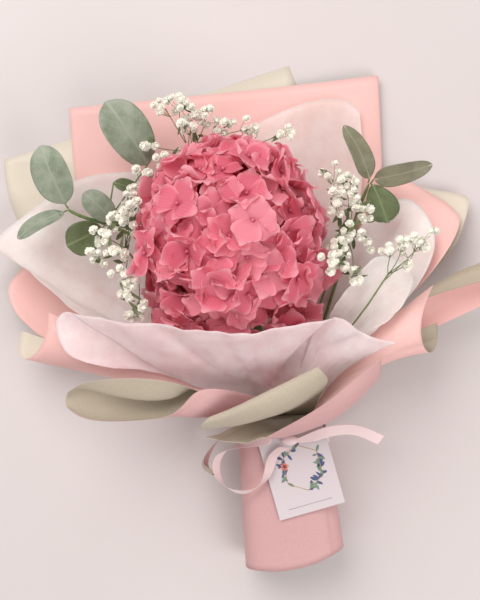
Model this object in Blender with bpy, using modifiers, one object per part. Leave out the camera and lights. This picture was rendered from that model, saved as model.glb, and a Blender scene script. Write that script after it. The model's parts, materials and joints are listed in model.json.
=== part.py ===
"""Hydrangea bouquet in two-tone wrapping paper, lying on its back.

+Y runs from the handle to the flowers, +X is the bouquet's right and +Z is up from the table.
The design is laid out in millimetres round the point where the bouquet is tied; the last step
scales nothing and only moves the whole group so that the origin is under the middle of its box.
"""

import math

import bmesh
import bpy
from mathutils import Matrix, Vector, noise

MM = 0.001
GAP = 0.3  # clear space between pieces that touch on the real bouquet

# Driving dimensions, in millimetres
PAPER = 0.5  # wrapping paper, as thick as the solids allow
TISSUE = 0.4  # non-woven inner wrap
NECK_WIDE, NECK_DEEP = 25.0, 15.0  # half sizes of the innermost wrap layer at the neck
LAYER_STEP = 1.3  # each further layer of wrap lies this much outside the last
OUTERMOST = 9.6  # the layer of the outermost wrap
TAIL_LENGTH = 20.0  # how far each wrap runs down inside the handle

HEAD = Vector((-45, 158, 94))  # middle of the hydrangea head
HEAD_RADII = Vector((79, 83, 72))  # out to the middles of the florets
FLORETS = 18
FLORET_RADIUS = 23.0
FLORET_CUP = 7.0  # how far the sepal tips rise above the floret's middle
FLORET_STALK = 8.0
SEPAL = 0.9

HANDLE_LENGTH = 128.0
HANDLE_TOP = -10.0  # the sleeve's upper edge, just below the tie
HANDLE_TOP_HALF = NECK_WIDE + OUTERMOST * LAYER_STEP + 3.0
HANDLE_FOOT_HALF = HANDLE_TOP_HALF + 4.5
HANDLE_HALF_DEPTH = NECK_DEEP + OUTERMOST * LAYER_STEP + 1.0  # clear of the wraps' tails
NECK_HEIGHT = HANDLE_HALF_DEPTH + 1.5  # the ribbon passes between the sleeve and the table
HANDLE_LEAN = 12.0  # how far the handle's foot lies to the right of the neck

HANDLE_ROUNDNESS = 0.62  # below 1 makes the sleeve's section squarer than an ellipse

STEM_RADIUS = 4.5
LEAF_THICKNESS = 0.6
LEAF_STEM_RADIUS = 1.6
SPRIG_RADIUS = 0.8
BLOSSOM_RADIUS = 3.0

RIBBON_WIDTH = 10.0
RIBBON = 0.4
CARD_WIDE, CARD_LONG, CARD_THICK = 60.0, 72.0, 0.6
CARD_TURN = 16.0
KNOT = Vector((6, -20, NECK_HEIGHT + HANDLE_HALF_DEPTH + 6.5))


def at(x, y, z):
    return Vector((x, y, z))


def material(name, colour, roughness):
    """A plain coloured finish; colour is linear red, green and blue."""
    made = bpy.data.materials.new(name)
    made.use_nodes = True
    shader = made.node_tree.nodes["Principled BSDF"]
    shader.inputs["Base Color"].default_value = (*colour, 1)
    shader.inputs["Roughness"].default_value = roughness
    shader.inputs["Metallic"].default_value = 0.0
    return made


def clear_scene():
    for old in list(bpy.data.objects):
        bpy.data.objects.remove(old)


def keep(name, mesh, finish, smooth=True):
    """Adds a finished mesh, built in millimetres, to the bouquet as a named object."""
    mesh.transform(Matrix.Scale(MM, 4))
    obj = bpy.data.objects.new(name, mesh)
    mesh.materials.append(finish)
    if smooth:
        mesh.shade_smooth()
    BOUQUET.objects.link(obj)
    return obj


# ---------------------------------------------------------------- curves and lofts


def between(a, b, c, d, t):
    """A point between b and c on the smooth curve through a, b, c and d, spaced by their distances."""
    k1 = max((b - a).length, 1e-6) ** 0.5
    k2 = k1 + max((c - b).length, 1e-6) ** 0.5
    k3 = k2 + max((d - c).length, 1e-6) ** 0.5
    s = k1 + (k2 - k1) * t
    ab = a.lerp(b, s / k1)
    bc = b.lerp(c, (s - k1) / (k2 - k1))
    cd = c.lerp(d, (s - k2) / (k3 - k2))
    abc = ab.lerp(bc, s / k2)
    bcd = bc.lerp(cd, (s - k1) / (k3 - k1))
    return abc.lerp(bcd, (s - k1) / (k2 - k1))


def smooth_curve(points, count):
    """count + 1 points along a smooth curve through the given ones."""
    first = points[0] * 2 - points[1]
    last = points[-1] * 2 - points[-2]
    line = [first, *points, last]
    spans = len(points) - 1
    found = []
    for i in range(count + 1):
        place = i / count * spans
        span = min(int(place), spans - 1)
        found.append(between(*line[span : span + 4], place - span))
    return found


def grid_mesh(name, rows, closed=False):
    """A mesh of quads through rows of points."""
    mesh = bpy.data.meshes.new(name)
    wide = len(rows[0])
    faces = []
    for r in range(len(rows) - 1):
        for c in range(wide if closed else wide - 1):
            right = (c + 1) % wide
            faces.append((r * wide + c, r * wide + right, (r + 1) * wide + right, (r + 1) * wide + c))
    mesh.from_pydata([p for row in rows for p in row], [], faces)
    return mesh


def thicken(obj, thickness):
    """Gives an open sheet its thickness, half on each side."""
    solid = obj.modifiers.new("Thickness", "SOLIDIFY")
    solid.thickness = thickness * MM
    solid.offset = 0
    solid.use_even_offset = False
    return obj


def sheet(name, sections, finish, thickness=PAPER, columns=10, rows=6):
    """A sheet lofted smoothly through section curves, from the neck out to its rim."""
    curves = [smooth_curve(section, columns) for section in sections]
    lines = [smooth_curve([curve[c] for curve in curves], rows) for c in range(columns + 1)]
    across = [[line[r] for line in lines] for r in range(rows + 1)]
    for point in (p for row in across for p in row):
        point.z = max(point.z, thickness / 2)  # nothing dips below the table
    return thicken(keep(name, grid_mesh(name, across), finish), thickness)


def neck(start, end, layer, along=0.0, count=5):
    """Points on the tied neck, on one layer of wrap. Angles run from the top towards +X, in degrees."""
    found = []
    for i in range(count):
        angle = math.radians(start + (end - start) * i / (count - 1))
        across = (NECK_WIDE + LAYER_STEP * layer) * math.sin(angle)
        up = NECK_HEIGHT + (NECK_DEEP + LAYER_STEP * layer) * math.cos(angle)
        found.append(at(across, along, up))
    return found


def gathered(start, end, layer):
    """The two sections every wrap starts with: its tail inside the handle, and the tied neck."""
    return [neck(start, end, layer, -TAIL_LENGTH), neck(start, end, layer)]


def turned_back(start, end, layer):
    """Gathered sections, then the bend where a front wrap turns up: outer layers turn sooner."""
    return [*gathered(start, end, layer), neck(start, end, layer + 4, along=(10 - layer) * LAYER_STEP)]


# ---------------------------------------------------------------- wrapping sheets


def back_sheets():
    """The sheets that lie on the table behind the flowers."""
    rest = PAPER / 2
    sheet("back_sheet_cream", [
        *gathered(228, 132, 8),
        [at(-167, 71, 1.2), at(-77, 57, 1.2), at(18, 57, 1.2), at(86, 85, 1.2)],
        [at(-205, 122, rest), at(-114, 115, rest), at(-10, 117, rest), at(72, 132, rest)],
        [at(-254, 184, rest), at(-152, 190, rest), at(-39, 198, rest), at(55, 203, rest)],
        [at(-261, 236, rest), at(-171, 265, rest), at(-82, 295, rest), at(8, 325, rest)],
    ], CREAM_PAPER, rows=8)
    sheet("back_sheet_pink", [
        *gathered(220, 140, 6),
        [at(-152, 85, 3), at(-77, 71, 3), at(8, 71, 4.5), at(64, 88, 9),
         at(80, 92, 7), at(78, 93, 4), at(62, 92, 2.6)],
        [at(-190, 189, 2.5), at(-96, 187, 2.5), at(8, 191, 5), at(74, 197, 11),
         at(95, 200, 9), at(96, 200, 4), at(74, 198, 2)],
        [at(-199, 285, 2.5), at(-105, 294, 2.5), at(-1, 304, 6), at(68, 311, 12),
         at(90, 314, 10), at(92, 314, 5), at(68, 312, 2)],
    ], PINK_PAPER, columns=14)
    sheet("tissue_back", [
        *gathered(210, 150, 4),
        [at(-100, 90, 7), at(-48, 72, 8), at(6, 72, 10), at(48, 88, 15)],
        [at(-88, 193, 8), at(-30, 198, 9), at(26, 202, 12), at(78, 206, 17)],
        [at(-77, 243, 8), at(-25, 268, 11), at(22, 288, 14), at(59, 291, 17), at(73, 279, 18)],
    ], WHITE_TISSUE, TISSUE)


def left_sheets():
    """The sheets that flare to the bouquet's left."""
    sheet("left_sheet_rear", [
        *gathered(-130, -104, 4),
        [at(-124, 113, 6), at(-151, 85, 9), at(-160, 71, 13), at(-150, 58, 18), at(-122, 38, 26)],
        [at(-205, 177, 4), at(-243, 132, 11), at(-253, 117, 18), at(-246, 94, 26), at(-217, 67, 32)],
    ], PINK_PAPER)
    sheet("left_sheet_front", [
        *gathered(-78, -102, 4),
        [at(-110, 51, 63), at(-112, 41, 68), at(-114, 28, 61), at(-118, 25, 50), at(-122, 38, 43)],
        [at(-207, 93, 66), at(-206, 78, 75), at(-217, 58, 67), at(-233, 51, 50),
         at(-240, 62, 40), at(-237, 76, 38)],
    ], PINK_PAPER, columns=12)
    sheet("tissue_left", [
        *gathered(-160, -78, 3),
        [at(-72, 137, 11), at(-109, 132, 14), at(-141, 104, 24), at(-154, 86, 32),
         at(-134, 72, 44), at(-106, 59, 58), at(-83, 49, 66)],
        [at(-123, 224, 9), at(-187, 220, 10), at(-233, 184, 26), at(-262, 156, 42),
         at(-228, 134, 52), at(-180, 94, 76), at(-139, 80, 84)],
    ], WHITE_TISSUE, TISSUE, columns=12)


def right_sheets():
    """The sheets that flare to the bouquet's right."""
    sheet("right_sheet_cream", [
        *gathered(127, 110, 6),
        [at(80, 118, 13), at(94, 106, 15), at(100, 90, 20)],
        [at(97, 221, 12), at(139, 207, 12), at(173, 202, 14), at(175, 192, 17), at(160, 150, 24)],
    ], CREAM_PAPER, columns=8)
    sheet("right_sheet_high", [
        *gathered(130, 100, 5),
        [at(60, 140, 22), at(78, 126, 24), at(87, 112, 30), at(90, 100, 37), at(86, 90, 44)],
        [at(103, 223, 18), at(137, 204, 20), at(157, 190, 26), at(164, 176, 34),
         at(141, 138, 48), at(118, 113, 58)],
    ], PINK_PAPER)
    sheet("right_sheet_low", [
        *gathered(58, 86, 4),
        [at(72, 72, 88), at(76, 62, 91), at(80, 50, 85), at(84, 48, 74), at(84, 60, 66)],
        [at(131, 118, 76), at(120, 98, 92), at(116, 76, 97), at(124, 58, 84),
         at(134, 60, 66), at(138, 76, 58), at(137, 84, 60)],
    ], PINK_PAPER, columns=12)
    sheet("right_curl", [
        *gathered(74, 86, 5),
        [at(100, 60, 32), at(102, 72, 30), at(102, 86, 33), at(100, 93, 39)],
        [at(150, 84, 42), at(150, 100, 40), at(146, 118, 46), at(144, 126, 54),
         at(146, 122, 62), at(150, 113, 63)],
        [at(206, 112, 50), at(204, 126, 50), at(200, 140, 56), at(197, 144, 64),
         at(200, 138, 71), at(204, 128, 71)],
    ], PINK_PAPER)
    sheet("tissue_right_outer", [
        *gathered(118, 80, 3),
        [at(50, 130, 26), at(70, 130, 33), at(82, 116, 40), at(80, 100, 48), at(72, 84, 56)],
        [at(82, 186, 30), at(107, 197, 34), at(119, 195, 38), at(134, 177, 44),
         at(137, 154, 52), at(124, 127, 62), at(105, 104, 72)],
    ], WHITE_TISSUE, TISSUE)
    sheet("tissue_right_inner", [
        *gathered(96, 54, 2),
        [at(38, 80, 66), at(56, 86, 74), at(64, 76, 82), at(58, 62, 88), at(48, 52, 92)],
        [at(42, 100, 104), at(58, 119, 104), at(79, 143, 100), at(112, 130, 92),
         at(100, 99, 99), at(68, 80, 108)],
    ], WHITE_TISSUE, TISSUE)


def front_sheets():
    """The wraps that cross in front of the flowers and turn down over the tie."""
    sheet("tissue_front", [
        *turned_back(-52, 50, 5),
        [at(-114, 46, 88), at(-90, 51, 98), at(-64, 52, 108), at(-35, 52, 116), at(-10, 54, 116),
         at(11, 55, 112), at(27, 56, 108), at(38, 53, 104), at(51, 49, 98)],
        [at(-180, 94, 104), at(-133, 87, 122), at(-84, 80, 140), at(-39, 77, 150), at(-2, 83, 148),
         at(31, 89, 140), at(51, 87, 130), at(62, 77, 122), at(94, 68, 114)],
    ], WHITE_TISSUE, TISSUE, columns=14)
    sheet("tissue_front_curl", [
        *gathered(-60, -76, 5.3),
        [at(-112, 42, 74), at(-130, 50, 74), at(-132, 60, 77), at(-126, 66, 83)],
        [at(-146, 46, 84), at(-184, 54, 84), at(-195, 69, 84), at(-197, 86, 88), at(-186, 96, 96)],
    ], WHITE_TISSUE, TISSUE, columns=8)
    sheet("front_left_collar", [
        *turned_back(10, -50, 5.9),
        [at(-46, 30, 116), at(-46, 18, 114), at(-48, 7, 105), at(-50, 7, 97), at(-52, 12, 90),
         at(-52, 22, 93), at(-50, 25, 101), at(-50, 24, 107), at(-50, 20, 111)],
        [at(-76, 31, 118), at(-76, 18, 118), at(-76, 4, 111), at(-77, 3, 101), at(-78, 12, 92),
         at(-78, 24, 92), at(-78, 30, 99), at(-77, 29, 107), at(-76, 28, 112)],
        [at(-92, 5, 107), at(-92, 4, 101), at(-92, 7, 94), at(-93, 14, 89), at(-94, 24, 89),
         at(-94, 30, 94), at(-93, 17, 103), at(-93, 27, 110), at(-92, 35, 115)],
        [at(-125, 3, 107), at(-125, 2, 100), at(-125, 6, 92), at(-125, 13, 87), at(-125, 24, 87),
         at(-125, 31, 94), at(-125, 15, 102), at(-125, 27, 109), at(-125, 39, 114)],
        [at(-157, 1, 105), at(-157, 0, 99), at(-157, 4, 92), at(-157, 12, 88), at(-157, 22, 88),
         at(-157, 29, 94), at(-157, 24, 101), at(-157, 31, 107), at(-157, 37, 111)],
        [at(-174, 6, 102), at(-175, 4, 99), at(-176, 7, 95), at(-177, 12, 93), at(-177, 20, 93),
         at(-176, 26, 96), at(-175, 28, 100), at(-174, 31, 104), at(-173, 33, 107)],
        [at(-184, 12, 100), at(-185, 12, 98), at(-186, 13, 96.5), at(-187, 16, 96), at(-187, 19, 96),
         at(-186, 22, 97.5), at(-185, 24, 99.5), at(-184, 26, 101.5), at(-182, 27, 103)],
    ], PINK_PAPER, columns=12, rows=11)
    sheet("front_collar_sage", [
        *turned_back(-46, 44, 7.2),
        [at(-64, -4, 97), at(-40, -1, 100), at(-12, 5, 104), at(12, 16, 109), at(32, 31, 113)],
        [at(-72, -6, 110), at(-44, -1, 117), at(-14, 8, 124), at(13, 20, 128), at(36, 38, 128)],
        [at(-70, 1, 121), at(-46, 10, 131), at(-20, 22, 137), at(4, 34, 139), at(28, 47, 137)],
        [at(-63, 7, 122), at(-40, 17, 129), at(-18, 28, 133), at(4, 39, 135), at(26, 50, 134)],
    ], CREAM_PAPER, rows=9)
    sheet("front_collar_under", [
        *turned_back(-34, 56, 8.3),
        [at(-54, -12, 80), at(-27, -12, 83), at(1, -6, 86), at(26, 4, 90), at(50, 21, 95)],
        [at(-69, -14, 96), at(-36, -17, 98), at(0, -7, 100), at(30, 10, 104), at(55, 29, 106)],
    ], CREAM_PAPER)
    sheet("front_band", [
        *turned_back(14, 62, OUTERMOST),
        [at(2, -15, 86), at(24, -8, 92), at(44, 1, 97), at(61, 15, 100), at(76, 31, 101)],
        [at(-6, -14, 97), at(20, -3, 106), at(42, 10, 112), at(62, 26, 115), at(80, 44, 113)],
        [at(-17, -13, 102), at(10, 3, 112), at(36, 20, 118), at(58, 38, 121), at(79, 55, 119)],
    ], PINK_PAPER, rows=8)


def sleeve_ring(half_wide, half_deep, x, y, slant=0.0, around=24):
    """A squarish ring of points round the stems; slant lets the ring's right side sit further back."""
    ring = []
    for i in range(around):
        angle = math.tau * (i + 0.5) / around
        c, s = math.cos(angle), math.sin(angle)
        across = half_wide * math.copysign(abs(c) ** HANDLE_ROUNDNESS, c)
        up = half_deep * math.copysign(abs(s) ** HANDLE_ROUNDNESS, s)
        ring.append(at(x + across, y + slant * max(0.0, across), NECK_HEIGHT + up))
    return ring


def handle():
    """The paper sleeve round the stems below the tie, open at its foot, and the loose tail beside it."""
    rows = []
    for step in range(6):
        down = step / 5
        half = HANDLE_TOP_HALF + (HANDLE_FOOT_HALF - HANDLE_TOP_HALF) * down
        rows.append(sleeve_ring(half, HANDLE_HALF_DEPTH, HANDLE_LEAN * down,
                                HANDLE_TOP - HANDLE_LENGTH * down, 0.42 * down))
    thicken(keep("handle_sleeve", grid_mesh("handle_sleeve", rows, closed=True), PINK_PAPER), PAPER)
    sheet("paper_tail", [
        [at(-44, -16, 46), at(-45, -16, 38), at(-46, -16, 30)],
        [at(-57, -21, 54), at(-60, -24, 44), at(-58, -24, 32)],
        [at(-72, -42, 52), at(-74, -46, 42), at(-68, -48, 32)],
        [at(-60, -50, 50), at(-64, -55, 40), at(-58, -56, 30)],
    ], PINK_PAPER, columns=4, rows=7)


# ---------------------------------------------------------------- hydrangea


def head_directions():
    """Directions from the middle of the head to each floret, spread evenly all but round the stem."""
    stem_way = (at(0, 0, NECK_HEIGHT) - HEAD).normalized()
    turn = (-stem_way).to_track_quat("Z", "Y")
    lowest = math.cos(math.radians(132))
    found = []
    for i in range(FLORETS):
        height = 1 - (i + 0.5) / FLORETS * (1 - lowest)
        angle = i * math.pi * (3 - math.sqrt(5))
        flat = math.sqrt(1 - height * height)
        found.append(turn @ Vector((flat * math.cos(angle), flat * math.sin(angle), height)))
    return found


def floret_mesh(name, around=16):
    """Four broad sepals in a shallow cup, with the short stalk beneath, as one closed skin."""
    half = SEPAL / 2
    # Reach and height of each ring: up the stalk, out under the sepals, round their rim and back.
    profile = [(0.06, -FLORET_STALK), (0.06, -half), (0.55, -half), (1.0, -half), (1.0, half), (0.55, half)]
    made = bmesh.new()
    rings = []
    for reach, height in profile:
        ring = []
        for i in range(around):
            angle = math.tau * i / around
            lobe = abs(math.cos(2 * angle)) ** 0.8
            radius = FLORET_RADIUS * reach * (1 - 0.28 * (1 - lobe) * reach)
            rise = height + FLORET_CUP * reach * reach * (0.5 + 0.5 * lobe)
            ring.append(made.verts.new((radius * math.cos(angle), radius * math.sin(angle), rise)))
        rings.append(ring)
    foot = made.verts.new((0, 0, -FLORET_STALK))
    middle = made.verts.new((0, 0, half))
    for i in range(around):
        j = (i + 1) % around
        for low, high in zip(rings, rings[1:]):
            made.faces.new((low[i], low[j], high[j], high[i]))
        made.faces.new((foot, rings[0][j], rings[0][i]))
        made.faces.new((middle, rings[-1][i], rings[-1][j]))
    mesh = bpy.data.meshes.new(name)
    made.to_mesh(mesh)
    made.free()
    return mesh


def head_core():
    """The packed inner florets, as one lumpy mass just inside the outer florets' stalks."""
    made = bmesh.new()
    bmesh.ops.create_uvsphere(made, u_segments=18, v_segments=11, radius=1)
    inside = FLORET_STALK + GAP + 0.6
    for vertex in made.verts:
        lump = 1 - 0.09 * (1 + noise.noise(vertex.co * 3.7))
        vertex.co = HEAD + Vector([w * (r - inside) * lump for w, r in zip(vertex.co, HEAD_RADII)])
    mesh = bpy.data.meshes.new("hydrangea_core")
    made.to_mesh(mesh)
    made.free()
    keep("hydrangea_core", mesh, PINK_SEPAL)


def hydrangea():
    """The outer florets, the packed core behind them and the stem up to it."""
    spin = 64.0  # each floret is turned this much further round its own stalk
    for number, way in enumerate(head_directions(), 1):
        place = HEAD + Vector([w * r for w, r in zip(way, HEAD_RADII)])
        facing = Vector([w / r for w, r in zip(way, HEAD_RADII)]).normalized().to_track_quat("Z", "Y")
        name = f"hydrangea_floret_{number:02d}"
        mesh = floret_mesh(name)
        turn = facing.to_matrix().to_4x4() @ Matrix.Rotation(math.radians(spin * number), 4, "Z")
        mesh.transform(Matrix.Translation(place) @ turn)
        keep(name, mesh, PINK_SEPAL)
    head_core()
    towards = (at(0, 0, NECK_HEIGHT) - HEAD).normalized()
    top = HEAD + towards * (min(HEAD_RADII) - 1)
    tube("hydrangea_stem", [at(9, -96, 27), at(4, -50, 28), at(0, 0, NECK_HEIGHT), top], STEM_RADIUS)


# ---------------------------------------------------------------- stems, leaves and sprigs


def tube(name, points, radius, finish=None, count=8):
    """A round stem along a smooth curve through the points."""
    curve = bpy.data.curves.new(name, "CURVE")
    curve.dimensions = "3D"
    curve.bevel_depth = radius * MM
    curve.bevel_resolution = 2
    curve.use_fill_caps = True
    line = curve.splines.new("POLY")
    places = smooth_curve(points, count)
    line.points.add(len(places) - 1)
    for point, place in zip(line.points, places):
        point.co = (*(place * MM), 1)
    curve.materials.append(finish or GREEN_STEM)
    obj = bpy.data.objects.new(name, curve)
    BOUQUET.objects.link(obj)
    return obj


def leaf(name, base, tip, width, tilt=0.0, arch=0.08, widest=0.5, finish=None):
    """A blade from base to tip. Tilt turns it about its midrib, and arch bows it upwards."""
    along = tip - base
    level = along.cross(at(0, 0, 1)).normalized()
    side = Matrix.Rotation(math.radians(tilt), 3, along) @ level
    up = side.cross(along).normalized()
    rows = []
    steps, across = 7, 2
    for r in range(steps + 1):
        t = r / steps
        # The blade is widest at "widest" and narrows to a small blunt end at both ends.
        bent = t ** (math.log(0.5) / math.log(widest))
        half = 0.5 * width * max(math.sin(math.pi * bent) ** 0.62, 0.05)
        middle = base + along * t + up * (4 * arch * along.length * t * (1 - t))
        row = []
        for c in range(across + 1):
            s = 2 * c / across - 1
            row.append(middle + side * (half * s) + up * (0.16 * half * s * s))
        rows.append(row)
    obj = keep(name, grid_mesh(name, rows), finish or GREEN_LEAF)
    return thicken(obj, LEAF_THICKNESS)


def eucalyptus():
    """Two stems of eucalyptus, left and right of the head, and their leaves."""
    tube("eucalyptus_stem_left", [at(-10, -90, 22), at(-11, -40, 34), at(-12, 0, 34), at(-46, 70, 22),
         at(-110, 146, 26), at(-150, 170, 42), at(-181, 179, 52), at(-192, 185, 53)], LEAF_STEM_RADIUS, count=12)
    leaf("eucalyptus_leaf_01", at(-121, 226, 48), at(-157, 281, 58), 42, tilt=12, widest=0.52)
    leaf("eucalyptus_leaf_02", at(-194, 190, 56), at(-213, 240, 68), 35, tilt=-10, widest=0.5)
    leaf("eucalyptus_leaf_03", at(-195, 183, 55), at(-235, 158, 62), 21, tilt=38, widest=0.5)
    leaf("eucalyptus_leaf_04", at(-161, 168, 58), at(-191, 152, 66), 31, tilt=-14, widest=0.55)
    leaf("eucalyptus_leaf_05", at(-152, 176, 48), at(-178, 200, 54), 24, tilt=10, widest=0.5)
    leaf("eucalyptus_leaf_06", at(-127, 200, 46), at(-151, 209, 54), 15, tilt=30, widest=0.5)
    tube("eucalyptus_stem_right", [at(22, -90, 22), at(16, -40, 34), at(12, 0, 34), at(34, 70, 34),
         at(52, 130, 44), at(66, 180, 54), at(77, 208, 57)], LEAF_STEM_RADIUS, count=10)
    leaf("eucalyptus_leaf_07", at(77, 212, 60), at(53, 258, 66), 22, tilt=24, widest=0.42)
    leaf("eucalyptus_leaf_08", at(81, 211, 60), at(132, 224, 66), 20, tilt=20, widest=0.42)
    leaf("eucalyptus_leaf_09", at(80, 206, 58), at(92, 172, 68), 30, tilt=-10, widest=0.6)


def rod(made, start, end, radius, sides=5):
    """A thin straight shoot, as a closed cylinder."""
    way = end - start
    turn = way.to_track_quat("Z", "Y").to_matrix().to_4x4()
    place = Matrix.Translation((start + end) / 2) @ turn
    bmesh.ops.create_cone(made, cap_ends=True, segments=sides, radius1=radius, radius2=radius,
                          depth=way.length, matrix=place)


def shape_object(name, made, group):
    """Turns a bmesh built in millimetres into an object of the given collection."""
    mesh = bpy.data.meshes.new(name)
    made.to_mesh(mesh)
    made.free()
    mesh.transform(Matrix.Scale(MM, 4))
    obj = bpy.data.objects.new(name, mesh)
    group.objects.link(obj)
    return obj


def sprig(name, stem, clusters, reach=8.5, blossoms=3):
    """Baby's breath: a stem, a side shoot to the middle of each cluster, and blossoms round it."""
    path = smooth_curve(stem, 5)
    added = bmesh.new()
    for number, middle in enumerate(clusters):
        start = path[-1 - min(number, 2)]
        rod(added, start, middle, SPRIG_RADIUS)
        for blossom in range(blossoms):
            angle = math.tau * (blossom / blossoms + 0.13 * number)
            out = at(math.cos(angle), math.sin(angle), 0.5) * reach
            rod(added, middle, middle + out, SPRIG_RADIUS, 4)
            place = Matrix.Translation(middle + out)
            bmesh.ops.create_icosphere(added, subdivisions=1, radius=BLOSSOM_RADIUS, matrix=place)
    for a, b in zip(path[1:], path[2:]):
        rod(added, a, b, SPRIG_RADIUS)
    for joint in [*path[1:], *clusters]:
        place = Matrix.Translation(joint)
        bmesh.ops.create_icosphere(added, subdivisions=1, radius=SPRIG_RADIUS * 1.7, matrix=place)
    tool = shape_object(name + "_shoots", added, CUTTERS)
    tool.hide_render = True
    tool.display_type = "WIRE"
    root = bmesh.new()
    rod(root, path[0], path[1], SPRIG_RADIUS)
    obj = shape_object(name, root, BOUQUET)
    obj.data.materials.append(WHITE_BLOSSOM)
    join = obj.modifiers.new("Shoots", "BOOLEAN")
    join.operation = "UNION"
    join.solver = "EXACT"
    join.use_self = True
    join.object = tool
    return obj


def gypsophila():
    """Four sprays of baby's breath round the head."""
    sprig("gypsophila_left", [at(-12, -60, 38), at(-14, 0, 38), at(-60, 60, 30), at(-120, 120, 50), at(-142, 150, 72)],
          [at(-140, 182, 78), at(-160, 140, 88), at(-140, 122, 92)])
    sprig("gypsophila_top", [at(-4, -60, 22), at(-6, 0, 22), at(-40, 80, 15), at(-60, 150, 12), at(-66, 190, 13), at(-80, 245, 34)],
          [at(-90, 276, 52), at(-112, 244, 58), at(-58, 262, 50)])
    sprig("gypsophila_right", [at(6, -60, 22), at(6, 0, 22), at(24, 70, 24), at(44, 130, 40), at(54, 160, 62)],
          [at(54, 200, 74), at(64, 176, 84), at(56, 146, 92)])
    sprig("gypsophila_far_right", [at(14, -60, 40), at(14, 0, 39), at(44, 60, 62), at(70, 100, 96), at(88, 128, 104)],
          [at(108, 148, 104), at(92, 142, 108)])


# ---------------------------------------------------------------- ribbon and card


def strip(name, stations):
    """A ribbon through stations, each a middle point and the direction across the ribbon."""
    half = RIBBON_WIDTH / 2
    sections = [[p - w.normalized() * half, p, p + w.normalized() * half] for p, w in stations]
    return sheet(name, sections, PINK_RIBBON, RIBBON, columns=2, rows=3 * (len(sections) - 1))


def ribbon():
    """The ribbon tied round the neck: its band, the knot, one loop and one tail."""
    clear = PAPER / 2 + 2 * GAP + RIBBON / 2
    rows = []
    for y in (HANDLE_TOP - 5, HANDLE_TOP - 5 - RIBBON_WIDTH):
        rows.append(sleeve_ring(HANDLE_TOP_HALF + clear + 1.0, HANDLE_HALF_DEPTH + clear, 1.0, y))
    thicken(keep("ribbon_band", grid_mesh("ribbon_band", rows, closed=True), PINK_RIBBON), RIBBON)
    made = bmesh.new()
    bmesh.ops.create_uvsphere(made, u_segments=10, v_segments=6, radius=1)
    for vertex in made.verts:
        vertex.co = KNOT + Vector([w * r for w, r in zip(vertex.co, (8, 5, 4))])
    mesh = bpy.data.meshes.new("ribbon_knot")
    made.to_mesh(mesh)
    made.free()
    keep("ribbon_knot", mesh, PINK_RIBBON)
    strip("ribbon_loop", [
        (KNOT + at(-5, -6, 1), at(1, -0.2, 0.1)),
        (KNOT + at(-15, -14, 0), at(1, 0.2, 0.2)),
        (KNOT + at(-21, -34, 0), at(0.9, 0.5, 0.5)),
        (KNOT + at(-36, -46, -2), at(0.3, 0.5, 0.9)),
        (KNOT + at(-54, -44, -5), at(-0.3, 0.4, 0.9)),
        (KNOT + at(-65, -28, -3), at(-0.6, 0, 0.8)),
        (KNOT + at(-60, -10, 1), at(-0.8, -0.2, 0.6)),
        (KNOT + at(-16, 1, 3), at(-0.2, -1, 0.2)),
    ])
    strip("ribbon_tail", [
        (KNOT + at(10, -1, 1), at(0, 1, 0.2)),
        (KNOT + at(34, 8, 2), at(-0.1, 1, 0.2)),
        (KNOT + at(58, 9, -2), at(0.4, 1, 0.3)),
        (KNOT + at(82, -1, -8), at(0.7, 1, 0.2)),
    ])


def card():
    """The small tag that lies on the handle, its top tucked under the collar."""
    made = bmesh.new()
    bmesh.ops.create_cube(made, size=1)
    for vertex in made.verts:
        vertex.co = Vector((vertex.co.x * CARD_WIDE, vertex.co.y * CARD_LONG, vertex.co.z * CARD_THICK))
    height = NECK_HEIGHT + HANDLE_HALF_DEPTH + PAPER / 2 + RIBBON + 2 * GAP + CARD_THICK
    place = Matrix.Translation(at(16.5, -49, height)) @ Matrix.Rotation(math.radians(CARD_TURN), 4, "Z")
    bmesh.ops.transform(made, matrix=place, verts=made.verts)
    mesh = bpy.data.meshes.new("gift_card")
    made.to_mesh(mesh)
    made.free()
    keep("gift_card", mesh, WHITE_CARD, smooth=False)


# ---------------------------------------------------------------- assembly


def centre_over_origin():
    """Moves every object so the origin lies under the middle of the whole bouquet."""
    view = bpy.context.evaluated_depsgraph_get()
    places = []
    for obj in BOUQUET.objects:
        seen = obj.evaluated_get(view)
        mesh = seen.to_mesh()
        places += [v.co.copy() for v in mesh.vertices]
        seen.to_mesh_clear()
    low = [min(p[k] for p in places) for k in range(3)]
    high = [max(p[k] for p in places) for k in range(3)]
    shift = -Vector(((low[0] + high[0]) / 2, (low[1] + high[1]) / 2, low[2]))
    for obj in [*BOUQUET.objects, *CUTTERS.objects]:
        obj.location = shift
    return shift


clear_scene()
BOUQUET = bpy.data.collections.new("hydrangea_bouquet")
bpy.context.scene.collection.children.link(BOUQUET)
CUTTERS = bpy.data.collections.new("cutters")
bpy.context.scene.collection.children.link(CUTTERS)
PINK_PAPER = material("pink paper", (0.85, 0.50, 0.48), 0.6)
CREAM_PAPER = material("cream paper", (0.72, 0.71, 0.60), 0.6)
WHITE_TISSUE = material("white tissue", (0.88, 0.82, 0.81), 0.9)
PINK_SEPAL = material("pink sepal", (0.78, 0.13, 0.22), 0.6)
GREEN_STEM = material("green stem", (0.16, 0.26, 0.09), 0.6)
GREEN_LEAF = material("grey-green leaf", (0.17, 0.26, 0.20), 0.55)
WHITE_BLOSSOM = material("white blossom", (0.80, 0.79, 0.66), 0.7)
PINK_RIBBON = material("pink ribbon", (0.86, 0.70, 0.72), 0.5)
WHITE_CARD = material("white card", (0.85, 0.84, 0.84), 0.5)
back_sheets()
left_sheets()
right_sheets()
front_sheets()
handle()
hydrangea()
eucalyptus()
gypsophila()
ribbon()
card()
bpy.context.view_layer.update()
SHIFT = centre_over_origin()
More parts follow.
